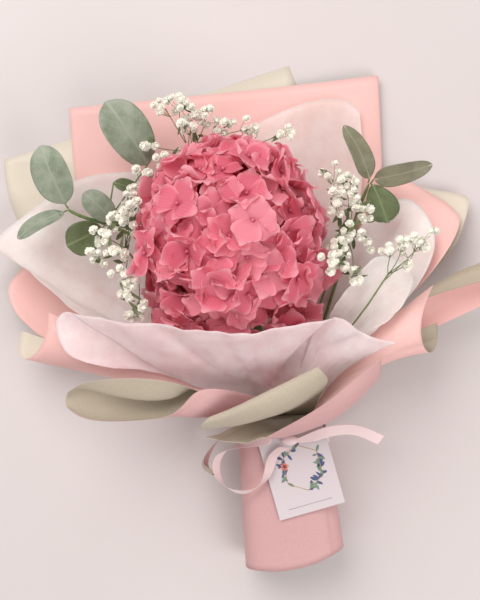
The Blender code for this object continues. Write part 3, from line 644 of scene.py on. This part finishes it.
tail = lifted("paper_tail", PAPER_MM, 3, faces_up)
thick(tail, PAPER_SHEET_MM, SHADED_PINK, SHADED_CREAM)
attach(tail, "root")
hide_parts("paper_tail")
made_wraps["paper_tail"] = tail

# %% [markdown]
# ## The hydrangea
#
# A mophead is a dome of four-sepalled florets that face outwards and jostle each other. Each sepal
# is a small grid: narrow at its claw, broad past the middle, a little cupped, with a wavy edge. Two
# opposite sepals sit under the other two. The outer florets stand where the frame's florets stand;
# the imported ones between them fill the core's surface on an even spiral.

# %% Sepals and florets
def sepal(made, uv, tone_layer, tone, to_place, length, width, wild):
    """Adds one sepal, growing along +X before it is moved into place."""
    rows, cols = 7, 8
    grid = []
    for i in range(rows + 1):
        u = i / rows
        half = 0.5 * width * max(math.sin(math.pi * (0.05 + 0.9 * u) ** 1.08), 0.0) ** 0.52
        line = []
        for j in range(cols + 1):
            s = 2 * j / cols - 1
            bend = length * (wild.lift * u - wild.dip * u**2.4)
            cup = 0.22 * half * s * s * wild.cup - 0.05 * length * (1 - s * s) * u
            frill = abs(s) ** 1.6 * u + 0.7 * u**4
            wave = math.sin(wild.waves * (u * 1.2 + s) + wild.phase) * 0.06 * length * frill
            x = length * u * (1 - 0.27 * s * s * u * u) + 0.02 * length * math.sin(5 * s + wild.phase) * u * u
            point = Vector((x, s * half, bend + cup + wave))
            point.yz = point.yz @ Matrix.Rotation(wild.twist * u, 2)
            vertex = made.verts.new(to_place @ point)
            vertex[tone_layer] = tone
            line.append(vertex)
        grid.append(line)
    for i in range(rows):
        for j in range(cols):
            face = made.faces.new((grid[i][j], grid[i + 1][j], grid[i + 1][j + 1], grid[i][j + 1]))
            face.smooth = True
            for loop, (a, b) in zip(face.loops, ((i, j), (i + 1, j), (i + 1, j + 1), (i, j + 1))):
                loop[uv].uv = (a / rows, b / cols)


class Wild:
    """Small random differences of one sepal."""

    def __init__(self, rng, loose):
        self.phase = rng.uniform(0, 6.28)
        self.waves = rng.uniform(2.5, 5.5)
        self.cup = rng.uniform(-0.5, 1.4)
        self.lift = rng.uniform(0.05, 0.35 + 0.45 * loose)
        self.dip = rng.uniform(-0.1, 0.3 + 0.3 * loose)
        self.twist = rng.gauss(0, 0.25)


def floret(made, uv, tone_layer, middle, facing, spin, span, rng, loose):
    """Adds four sepals and the bud between them."""
    turn = facing.to_track_quat("Z", "Y").to_matrix().to_4x4() @ Matrix.Rotation(spin, 4, "Z")
    base = Matrix.Translation(middle) @ turn
    tone = rng.uniform(0, 1) ** 1.5
    for k in range(4):
        low = -0.0008 if k % 2 else 0.0
        length = span * rng.uniform(0.88, 1.08)
        place = base @ Matrix.Rotation(k * math.pi / 2 + rng.uniform(-0.16, 0.16), 4, "Z")
        place = place @ Matrix.Translation((0.0004, 0, low))
        sepal(made, uv, tone_layer, tone, place, length, length * rng.uniform(1.08, 1.3), Wild(rng, loose))
    start = len(made.faces)
    bmesh.ops.create_icosphere(made, subdivisions=2, radius=0.0016,
                               matrix=base @ Matrix.Translation((0, 0, 0.0012)))
    made.faces.ensure_lookup_table()
    for face in made.faces[start:]:
        face.material_index = 1
        face.smooth = True


def floret_object(name, florets, seed, loose):
    """One object with the given florets: (middle, facing, spin, span). Loose sepals curl more."""
    rng = random.Random(seed)
    made = bmesh.new()
    uv = made.loops.layers.uv.new("along")
    tone_layer = made.verts.layers.float.new("tone")
    for middle, facing, spin, span in florets:
        floret(made, uv, tone_layer, middle, facing, spin, span, rng, loose)
    return standing(made, name, (SEPAL, BUD))


# %% [markdown]
# The frame's florets are cups on a stalk. The middle of a cup and the way it faces come from its
# points: the cup is broad in two directions, and the stalk's foot is the point nearest the core.

# %% Florets where the frame has them
def cup_of(name):
    """Middle and outward direction of a floret's cup."""
    points = np.array([v.co for v in nodes[name].data.vertices])
    away = np.linalg.norm((points - np.array(HEAD)) / np.array(HEAD_RADII), axis=1)
    foot = Vector(points[away < away.min() + 0.02].mean(0))
    centre = Vector(points.mean(0))
    facing = (centre - foot).normalized()
    return foot + facing * 8 * MM, facing


OUTER_SPAN_MM = 22
outer = {name: cup_of(name) for name in sorted(nodes) if name.startswith("hydrangea_floret")}
rng = random.Random(3)
for number, (name, (middle, facing)) in enumerate(outer.items()):
    lean = Vector([rng.gauss(0, 0.16) for _ in range(3)])
    piece = floret_object(
        name + "_fine", [(middle, (facing + lean).normalized(), number * 1.1, OUTER_SPAN_MM * MM)], number, 0.6)
    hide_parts(name)

# %% [markdown]
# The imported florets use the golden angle, which never lines them up. Any that would sit on top of
# an outer floret is left out. Each leans a little its own way, and those near the stem are dropped,
# because the wraps hide them.

# %% Packed florets
rng = random.Random(7)
stem_way = (NECK - HEAD).normalized()
turn = (-stem_way).to_track_quat("Z", "Y")
packed = []
PACKED_COUNT = 150
GOLDEN_ANGLE = math.pi * (3 - math.sqrt(5))
CLEAR_OF_OUTER_MM = 14
SKIRT = ((-110, 101, 84), (-99, 86, 92), (-80, 76, 98), (-58, 71, 104), (-36, 70, 106), (-14, 73, 104),
         (3, 80, 100), (14, 92, 92))  # florets that hang over the front tissue, in mm from the neck
for i in range(PACKED_COUNT):
    height = 1 - (i + 0.5) / PACKED_COUNT * 1.86
    angle = i * GOLDEN_ANGLE
    flat = math.sqrt(max(0.0, 1 - height * height))
    way = turn @ Vector((flat * math.cos(angle), flat * math.sin(angle), height))
    spot = HEAD + Vector([w * (r + rng.uniform(2, 8) * MM) for w, r in zip(way, HEAD_RADII)])
    if min((spot - middle).length for middle, _ in outer.values()) < CLEAR_OF_OUTER_MM * MM:
        continue
    lean = Vector([rng.gauss(0, 0.34) for _ in range(3)])
    normal = Vector([w / r for w, r in zip(way, HEAD_RADII)]).normalized()
    packed.append((spot, (normal + lean).normalized(), rng.uniform(0, 6.28), rng.uniform(18, 22.5) * MM))
for place in SKIRT:
    spot = at(*place)
    normal = ((spot - HEAD) * 0.6 + Vector((0, 0, 0.05))).normalized()
    packed.append((spot, (normal + Vector([rng.gauss(0, 0.2) for _ in range(3)])).normalized(),
                   rng.uniform(0, 6.28), 21 * MM))
inner_florets = floret_object("hydrangea_packed_florets", packed, 99, 1.0)
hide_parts("hydrangea_core")
print("florets:", len(outer), "outer,", len(packed), "packed")

# %% [markdown]
# Behind the sepals a closed mass stands for the stalks and inner flowers and fills the dome, so that no
# light comes through from the back. Its dark rose is painted shade, the shade in the deep gaps between crowded
# florets.

# %% Heart of the head
heart = bmesh.new()
bmesh.ops.create_icosphere(heart, subdivisions=4, radius=1.0)
for vertex in heart.verts:
    lump = 0.93 + 0.05 * noise.noise(vertex.co * 6)
    vertex.co = HEAD + Vector([c * r * lump for c, r in zip(vertex.co, HEAD_RADII)])
SHADE = plain_skin("crowded sepals in shade", "#B02345", "#8E1430", 0.8, 200.0, 0.001)
heart_object = standing(heart, "hydrangea_heart", [SHADE])
heart_object.data.shade_smooth()
print("heart:", len(heart_object.data.polygons), "faces")


# %% [markdown]
# ## Eucalyptus
#
# Each blade is lifted like a sheet, then measured along its longest direction so that the veins know
# where the midrib runs, and broadened towards both ends so that its tip is round. A stalk joins it
# to the nearest point of a branch.

# %% Leaves
def along_layer(obj, origin=None, rounder=False):
    """Stores how far each corner is along and across a long thin piece, from 0 to 1."""
    mesh = obj.data
    points = np.array([v.co for v in mesh.vertices])
    middle = points.mean(0)
    _, _, axes = np.linalg.svd(points - middle, full_matrices=False)
    place = (points - middle) @ axes[:2].T
    if origin is not None and np.dot(np.array(origin) - middle, axes[0]) > 0:
        place[:, 0] *= -1
    low, high = place.min(0), place.max(0)
    place = (place - low) / (high - low)
    if rounder:
        for vertex, (along, across) in zip(mesh.vertices, place):
            wider = min((math.sin(math.pi * min(max(along, 0.0), 1.0)) + 0.02) ** -0.32, 1.8) - 1
            vertex.co += Vector(axes[1]) * float((across - 0.5) * (high[1] - low[1]) * wider)
    layer = mesh.uv_layers.new(name="along")
    for loop in mesh.loops:
        layer.data[loop.index].uv = place[loop.vertex_index]
    return Vector(points[place[:, 0].argmin()])


def tube(made, points, radius, sides=6, material=0):
    """Adds a round stem along points to a bmesh."""
    rings = []
    for i, point in enumerate(points):
        ahead = points[min(i + 1, len(points) - 1)] - points[max(i - 1, 0)]
        quat = ahead.to_track_quat("Z", "Y")
        ring = []
        for k in range(sides):
            angle = math.tau * k / sides
            ring.append(made.verts.new(point + quat @ Vector((math.cos(angle), math.sin(angle), 0)) * radius))
        rings.append(ring)
    for low, high in zip(rings, rings[1:]):
        for k in range(sides):
            face = made.faces.new((low[k], low[(k + 1) % sides], high[(k + 1) % sides], high[k]))
            face.smooth = True
            face.material_index = material
    for ring in (rings[0][::-1], rings[-1]):
        made.faces.new(ring).material_index = material


def bowed(start, end, bow, count=6):
    """Points from start to end along an arc that rises by bow in the middle."""
    return [start.lerp(end, i / count) + bow * (4 * (i / count) * (1 - i / count)) for i in range(count + 1)]


stems = [n for n in nodes if n.startswith("eucalyptus_stem")]
stem_points = [v.co.copy() for n in stems for v in nodes[n].data.vertices]
stalks = bmesh.new()
LEAF_SKINS = {3: DARK_LEAF, 5: DARK_LEAF, 6: OLIVE_LEAF, 7: OLIVE_LEAF, 8: DARK_LEAF}
LEAF_MM, LEAF_BLADE_MM = 0.6, 0.35  # the frame's solid, the finished blade
for number, name in enumerate(sorted(n for n in nodes if n.startswith("eucalyptus_leaf"))):
    blade = lifted(name, LEAF_MM, 3, faces_up)
    near = min(stem_points, key=lambda p: min((p - v.co).length for v in blade.data.vertices))
    base = along_layer(blade, near, rounder=True)
    for vertex in blade.data.vertices:
        curl = noise.noise(vertex.co * 28 + Vector((number * 5.0, 0, 0)))
        vertex.co += vertex.normal * curl * 1.6 * MM
    thick(blade, LEAF_BLADE_MM, LEAF_SKINS.get(number, LEAF), LEAF)
    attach(blade, "root")
    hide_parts(name)
    tube(stalks, bowed(near, base, Vector((0, 0, 1 * MM))), 0.7 * MM)
stalk_object = standing(stalks, "eucalyptus_leaf_stalks", [STEM])
for name in [*stems, "hydrangea_stem"]:
    welded(name, 1, STEM)
print("stems:", len(stems) + 1, "stalks:", len(stalk_object.data.polygons), "faces")

# %% [markdown]
# ## Baby's breath
#
# A spray forks again and again into hair-thin stems, and each tip carries a double blossom about
# five millimetres across. The sprays are grown from the neck: one stem to a fork, then arching
# shoots to each cluster and a spread of short stalks with blossoms.

# %% Blossoms and sprays
WHORLS = ((7, 1.0, 0.1), (6, 0.85, 0.45), (5, 0.6, 0.75), (3, 0.32, 0.95))  # petals, reach, rise


def blossom(made, place, way, radius, rng):
    """Four whorls of tiny petals round a full white middle, on a green cup."""
    base = Matrix.Translation(place) @ way.to_track_quat("Z", "Y").to_matrix().to_4x4()
    for whorl, (petals, reach, rise) in enumerate(WHORLS):
        for k in range(petals):
            angle = math.tau * (k + 0.5 * whorl) / petals + rng.uniform(-0.25, 0.25)
            turned = base @ Matrix.Rotation(angle, 4, "Z")
            long, wide = radius * reach * rng.uniform(0.9, 1.1), radius * 0.95
            height = radius * rise * rng.uniform(0.8, 1.2)
            rows = []
            for u, w in ((0.08, 0.3), (0.6, 1.0), (1.0, 0.7)):
                z = height * (0.3 + 0.7 * u * u)
                row = [Vector((long * u, s * wide * 0.5 * w, z - 0.2 * radius * (1 - s * s)))
                       for s in (-1, 0, 1)]
                rows.append([made.verts.new(turned @ point) for point in row])
            for low, high in zip(rows, rows[1:]):
                for j in range(2):
                    face = made.faces.new((low[j], high[j], high[j + 1], low[j + 1]))
                    face.material_index = 1
                    face.smooth = True
    for size, rise, skin in ((0.52, 0.3, 1), (0.32, -0.35, 2)):
        start = len(made.faces)
        bmesh.ops.create_icosphere(made, subdivisions=1, radius=radius * size,
                                   matrix=base @ Matrix.Translation((0, 0, radius * rise)))
        made.faces.ensure_lookup_table()
        for face in made.faces[start:]:
            face.material_index = skin
            face.smooth = True


def narrow_leaf(made, root, way, length, width):
    """A narrow folded leaf."""
    side = way.cross(Vector((0, 0, 1))).normalized()
    rows = []
    for u in (0.0, 0.3, 0.65, 1.0):
        half = width * 0.5 * math.sin(math.pi * (0.1 + 0.86 * u))
        middle = root + way * length * u - Vector((0, 0, 1.6 * MM)) * u * u
        row = [middle + side * half * k + Vector((0, 0, abs(k) * 0.25 * half)) for k in (-1, 0, 1)]
        rows.append([made.verts.new(place) for place in row])
    for low, high in zip(rows, rows[1:]):
        for k in range(2):
            face = made.faces.new((low[k], high[k], high[k + 1], low[k + 1]))
            face.material_index = 3
            face.smooth = True


def spray(name, path, clusters, per_cluster, seed, greens):
    """One spray that stands for the frame's node of that name."""
    rng = random.Random(seed)
    made = bmesh.new()
    tube(made, path, 0.8 * MM, material=0)
    fork = path[-1]
    for middle in clusters:
        start = min(path[len(path) // 2 :], key=lambda p: (p - middle).length + rng.uniform(0, 12) * MM)
        shoot = bowed(start, middle, Vector((rng.uniform(-4, 4), rng.uniform(-4, 4), rng.uniform(3, 9))) * MM)
        tube(made, shoot, 0.4 * MM)
        for _ in range(greens):
            root = shoot[rng.randrange(2, len(shoot))] + Vector([rng.uniform(-4, 4) for _ in range(3)]) * MM
            narrow_leaf(made, root, Vector((rng.gauss(0, 1), rng.gauss(0, 1), rng.gauss(-0.2, 0.5))).normalized(),
                        rng.uniform(9, 17) * MM, rng.uniform(2.6, 4.4) * MM)
        for _ in range(per_cluster):
            out = Vector((rng.gauss(0, 1), rng.gauss(0, 1), abs(rng.gauss(0.3, 0.7)))).normalized()
            tip = middle + out * rng.uniform(3, 11) * MM
            tube(made, bowed(shoot[-2], tip, out * 1.2 * MM, 4), 0.22 * MM, 5)
            look = (out + Vector((0, 0, 0.9))).normalized()
            blossom(made, tip, look, rng.uniform(3.0, 4.6) * MM, rng)
    obj = standing(made, name + "_fine", (WIRE_STEM, BLOSSOM, EYE, GREENS), [name])
    print(f"{name}: {len(clusters) * per_cluster} blossoms, {len(obj.data.polygons)} faces")


def path_of(points):
    """A smooth line through points in millimetres from the neck."""
    line = [at(*p) for p in points]
    found = []
    for a, b in zip(line, line[1:]):
        found += [a.lerp(b, t / 4) for t in range(4)]
    return [*found, line[-1]]


spray("gypsophila_left",
      path_of([(-12, -50, 38), (-14, 0, 38), (-60, 60, 30), (-116, 116, 46), (-140, 150, 70)]),
      [at(-123, 214, 64), at(-137, 194, 74), at(-146, 174, 82), at(-157, 160, 86), at(-162, 138, 90),
       at(-146, 146, 96), at(-140, 124, 96), at(-132, 112, 98), at(-133, 168, 92), at(-130, 182, 96),
       at(-126, 96, 100)], 7, 11, 3)
spray("gypsophila_top",
      path_of([(-4, -50, 22), (-6, 0, 22), (-40, 80, 15), (-60, 150, 12), (-66, 190, 13), (-84, 240, 30)]),
      [at(-106, 276, 50), at(-93, 283, 55), at(-85, 270, 58), at(-70, 264, 56), at(-119, 240, 60),
       at(-106, 226, 72),
       at(-83, 254, 66), at(-52, 258, 56), at(-30, 256, 58), at(0, 252, 58)], 6, 12, 1)
spray("gypsophila_right", path_of([(6, -50, 22), (6, 0, 22), (24, 70, 24), (44, 130, 40), (54, 160, 62)]),
      [at(42, 213, 72), at(53, 206, 76), at(58, 191, 82), at(65, 180, 86), at(45, 188, 96), at(53, 164, 96),
       at(44, 150, 108), at(50, 138, 106), at(68, 156, 92), at(34, 136, 124), at(56, 126, 106)], 7, 13, 4)
spray("gypsophila_far_right",
      path_of([(14, -50, 40), (14, 0, 39), (44, 60, 62), (70, 100, 98), (86, 126, 108)]),
      [at(97, 152, 110), at(109, 150, 108), at(118, 156, 106), at(103, 139, 110), at(88, 144, 112)], 5, 14, 0)

# %% [markdown]
# ## Ribbon, knot and card
#
# The loop, the tail and the tie are lifted like sheets. The tail's first part is drawn in to the
# middle of the knot, so that it comes out of the knot and not from beside it.

# %% Ribbon
RIBBON_MM, RIBBON_STRIP_MM = 0.4, 0.18  # the frame's solid, the finished ribbon
TAIL_DRAWN_IN_MM = 14
for name in ("ribbon_loop", "ribbon_tail"):
    strip = lifted(name, RIBBON_MM, 3, faces_up)
    along_layer(strip)
    thick(strip, RIBBON_STRIP_MM, RIBBON, RIBBON)
    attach(strip, "root")
    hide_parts(name)
    made_wraps[name] = strip
band = lifted("ribbon_band", RIBBON_MM, 2)
along_layer(band)
thick(band, RIBBON_STRIP_MM, RIBBON, RIBBON)
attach(band, "root")
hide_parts("ribbon_band")
knot = welded("ribbon_knot", 2, RIBBON)
knot_middle = sum((v.co for v in knot.data.vertices), Vector()) / len(knot.data.vertices)
tail_start = min(v.co.x for v in made_wraps["ribbon_tail"].data.vertices)
for vertex in made_wraps["ribbon_tail"].data.vertices:
    near = max(0.0, 1 - (vertex.co.x - tail_start) / (TAIL_DRAWN_IN_MM * MM))
    vertex.co = vertex.co.lerp(knot_middle + Vector((3, 0, 0.5)) * MM, 0.8 * near)
print("knot at", [round(v, 4) for v in knot_middle])

# %% [markdown]
# The card is plain board with a printed wreath: a thin gold hexagon, small navy and green leaves
# along four of its sides, one coral flower and a fine grey rule. The print has no words. Its pieces lie a
# hair above the board.

# %% Card
card = nodes["gift_card"]
card.data.materials.clear()
card.data.materials.append(BOARD)
card_points = [v.co for v in card.data.vertices]
top = max(p.z for p in card_points)
corners = []
for p in card_points:
    if p.z > top - 0.1 * MM and all((p - q).length > 1 * MM for q in corners):
        corners.append(p.copy())
first = min(corners, key=lambda p: p.y)
sides = sorted((q - first for q in corners if q != first), key=lambda s: s.length)
CARD_X, CARD_Y = sides[0].normalized(), sides[1].normalized()
CARD_MID = sum(corners, Vector()) / len(corners)
CARD_UP = CARD_X.cross(CARD_Y)
print("card", [round(s.length / MM, 1) for s in sides], "corners", len(corners))


def on_card(x, y, lift=0.06):
    """A point of the print, in millimetres from the middle of the card."""
    return CARD_MID + (CARD_X * x + CARD_Y * y) * MM + Vector((0, 0, lift * MM))


def print_leaf(made, x, y, angle, length, wide, material, lift):
    """A flat printed leaf that starts at x, y."""
    c, s = math.cos(angle), math.sin(angle)
    left, right = [], []
    for t in (0.0, 0.25, 0.5, 0.75, 1.0):
        half = wide * 0.5 * math.sin(math.pi * (0.06 + 0.88 * t))
        for side, line in ((1, left), (-1, right)):
            line.append(made.verts.new(on_card(x + c * t * length - s * half * side,
                                               y + s * t * length + c * half * side, lift)))
    for a, b, d, e in zip(left, left[1:], right[1:], right):
        made.faces.new((a, e, d, b)).material_index = material


print_mesh = bmesh.new()
hexagon = [(0, 21), (16, 11), (16, -11), (0, -21), (-16, -11), (-16, 11)]
shift_x, shift_y = 2.0, 4.0  # the wreath's middle, clear of the knot
for (x0, y0), (x1, y1) in zip(hexagon, [*hexagon[1:], hexagon[0]]):
    ends = [on_card(x0 + shift_x, y0 + shift_y), on_card(x1 + shift_x, y1 + shift_y)]
    tube(print_mesh, ends, 0.28 * MM, 5, 0)
rng = random.Random(21)
for first_corner, leaves in ((1, 17), (2, 13), (4, 12), (5, 9)):
    (x0, y0), (x1, y1) = hexagon[first_corner], hexagon[(first_corner + 1) % 6]
    for k in range(leaves):
        t = (k + 0.5) / leaves
        x, y = x0 + (x1 - x0) * t + shift_x, y0 + (y1 - y0) * t + shift_y
        print_leaf(print_mesh, x, y, rng.uniform(0, 6.28), rng.uniform(4, 7.5), rng.uniform(1.8, 3.2),
                   rng.choice((1, 1, 2, 2)), 0.08 + 0.03 * (k % 6))
for k in range(5):
    print_leaf(print_mesh, -15 + shift_x, 5 + shift_y, k * 1.257, 3.8, 3.0, 3, 0.3)
tube(print_mesh, [on_card(-20, -29), on_card(20, -29)], 0.22 * MM, 5, 4)
print_object = standing(print_mesh, "card_print", (GOLD, NAVY, GREEN_INK, CORAL, GREY_INK))
print("card print:", len(print_object.data.polygons), "faces")

# %% [markdown]
# ## What the soft pieces were cut from
#
# Every wrap, tissue and ribbon is listed with the flat size it was cut to, and the cut's area is printed
# beside the area of its skin. Florists' paper comes in sheets about 58 centimetres square; what shows here
# are folded parts of such sheets, so each is given the flat size of its own part, worked out from its
# measured area.

# %% Flat sizes
CUTS = {
    # name: (width, length in metres, how it is held, what it lies on)
    "back_sheet_cream": (0.30, 0.30, "gathered", "table"),
    "back_sheet_pink": (0.30, 0.30, "gathered", "back_sheet_cream_fine"),
    "tissue_back": (0.18, 0.27, "gathered", "back_sheet_pink_fine"),
    "tissue_left": (0.16, 0.26, "gathered", "left_sheet_rear_fine"),
    "left_sheet_rear": (0.09, 0.24, "gathered", "back_sheet_pink_fine"),
    "left_sheet_front": (0.06, 0.22, "gathered", "left_sheet_rear_fine"),
    "right_sheet_cream": (0.06, 0.20, "gathered", "back_sheet_pink_fine"),
    "right_sheet_high": (0.08, 0.20, "gathered", "right_sheet_cream_fine"),
    "right_sheet_low": (0.05, 0.17, "gathered", "right_sheet_high_fine"),
    "right_curl": (0.05, 0.19, "gathered", "right_sheet_low_fine"),
    "tissue_right_outer": (0.08, 0.18, "gathered", "right_sheet_high_fine"),
    "tissue_right_inner": (0.07, 0.16, "gathered", "tissue_right_outer_fine"),
    "tissue_front": (0.22, 0.12, "gathered", "front_left_collar_fine"),
    "tissue_front_curl": (0.04, 0.14, "gathered", "left_sheet_front_fine"),
    "front_left_collar": (0.08, 0.18, "gathered", "left_sheet_front_fine"),
    "front_collar_sage": (0.09, 0.13, "gathered", "handle_sleeve_fine"),
    "front_collar_under": (0.07, 0.10, "gathered", "handle_sleeve_fine"),
    "front_band": (0.07, 0.11, "gathered", "handle_sleeve_fine"),
    "handle_sleeve": (0.23, 0.13, "folded", "table"),
    "paper_tail": (0.03, 0.05, "gathered", "handle_sleeve_fine"),
    "ribbon_loop": (0.010, 0.15, "hung", "ribbon_knot_fine"),
    "ribbon_tail": (0.010, 0.09, "hung", "ribbon_knot_fine"),
}
for name, (wide, long, held, under) in CUTS.items():
    print(f"{name}: cut {wide * long * 1e4:.0f} cm2, skin {area_of(made_wraps[name]) * 1e4:.0f} cm2")

# %% [markdown]
# ## Table, light and camera
#
# The bouquet lies on a pale table. A very large soft light stands beyond the flowers, and a weaker
# one fills from the handle's side. The camera hangs one metre above the table.

# %% Table
bpy.ops.mesh.primitive_plane_add(size=6, location=(0, 0, -0.0004))
table = bpy.context.object
table.name = "table"
table.data.materials.append(plain_skin("pale table", "#D5CECD", "#D2CAC9", 0.8, 4.0, 0.0))
table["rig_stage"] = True


# %% Lights
def softbox(name, place, wide, power, tint):
    light = bpy.data.lights.new(name, "AREA")
    light.shape = "DISK"
    light.size = wide
    light.energy = power
    light.color = colour(tint)[:3]
    lamp = bpy.data.objects.new(name, light)
    bpy.context.scene.collection.objects.link(lamp)
    lamp.location = place
    lamp.rotation_mode = "QUATERNION"
    lamp.rotation_quaternion = (Vector((0, 0, 0.05)) - lamp.location).to_track_quat("-Z", "Y")
    lamp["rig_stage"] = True


softbox("key", Vector((-0.55, 0.85, 1.25)), 1.3, 16.5, "#FFFCFA")
softbox("fill", Vector((0.9, -0.8, 1.4)), 1.2, 12, "#FFFAF9")
world = bpy.data.worlds.new("room")
bpy.context.scene.world = world
world.use_nodes = True
world.node_tree.nodes["Background"].inputs["Color"].default_value = colour("#FFFBFA")
world.node_tree.nodes["Background"].inputs["Strength"].default_value = 0.6
bpy.context.scene.view_settings.view_transform = "Standard"

# %% Camera
eye = bpy.data.cameras.new("camera")
eye.lens = 63.5
camera = bpy.data.objects.new("camera", eye)
bpy.context.scene.collection.objects.link(camera)
camera.location = at(-39, 104, 1000)
bpy.context.scene.camera = camera
print("camera at", [round(v, 3) for v in camera.location], "lens", eye.lens)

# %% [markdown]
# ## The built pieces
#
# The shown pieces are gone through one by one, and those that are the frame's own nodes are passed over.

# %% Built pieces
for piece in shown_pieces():
    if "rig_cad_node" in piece:
        continue
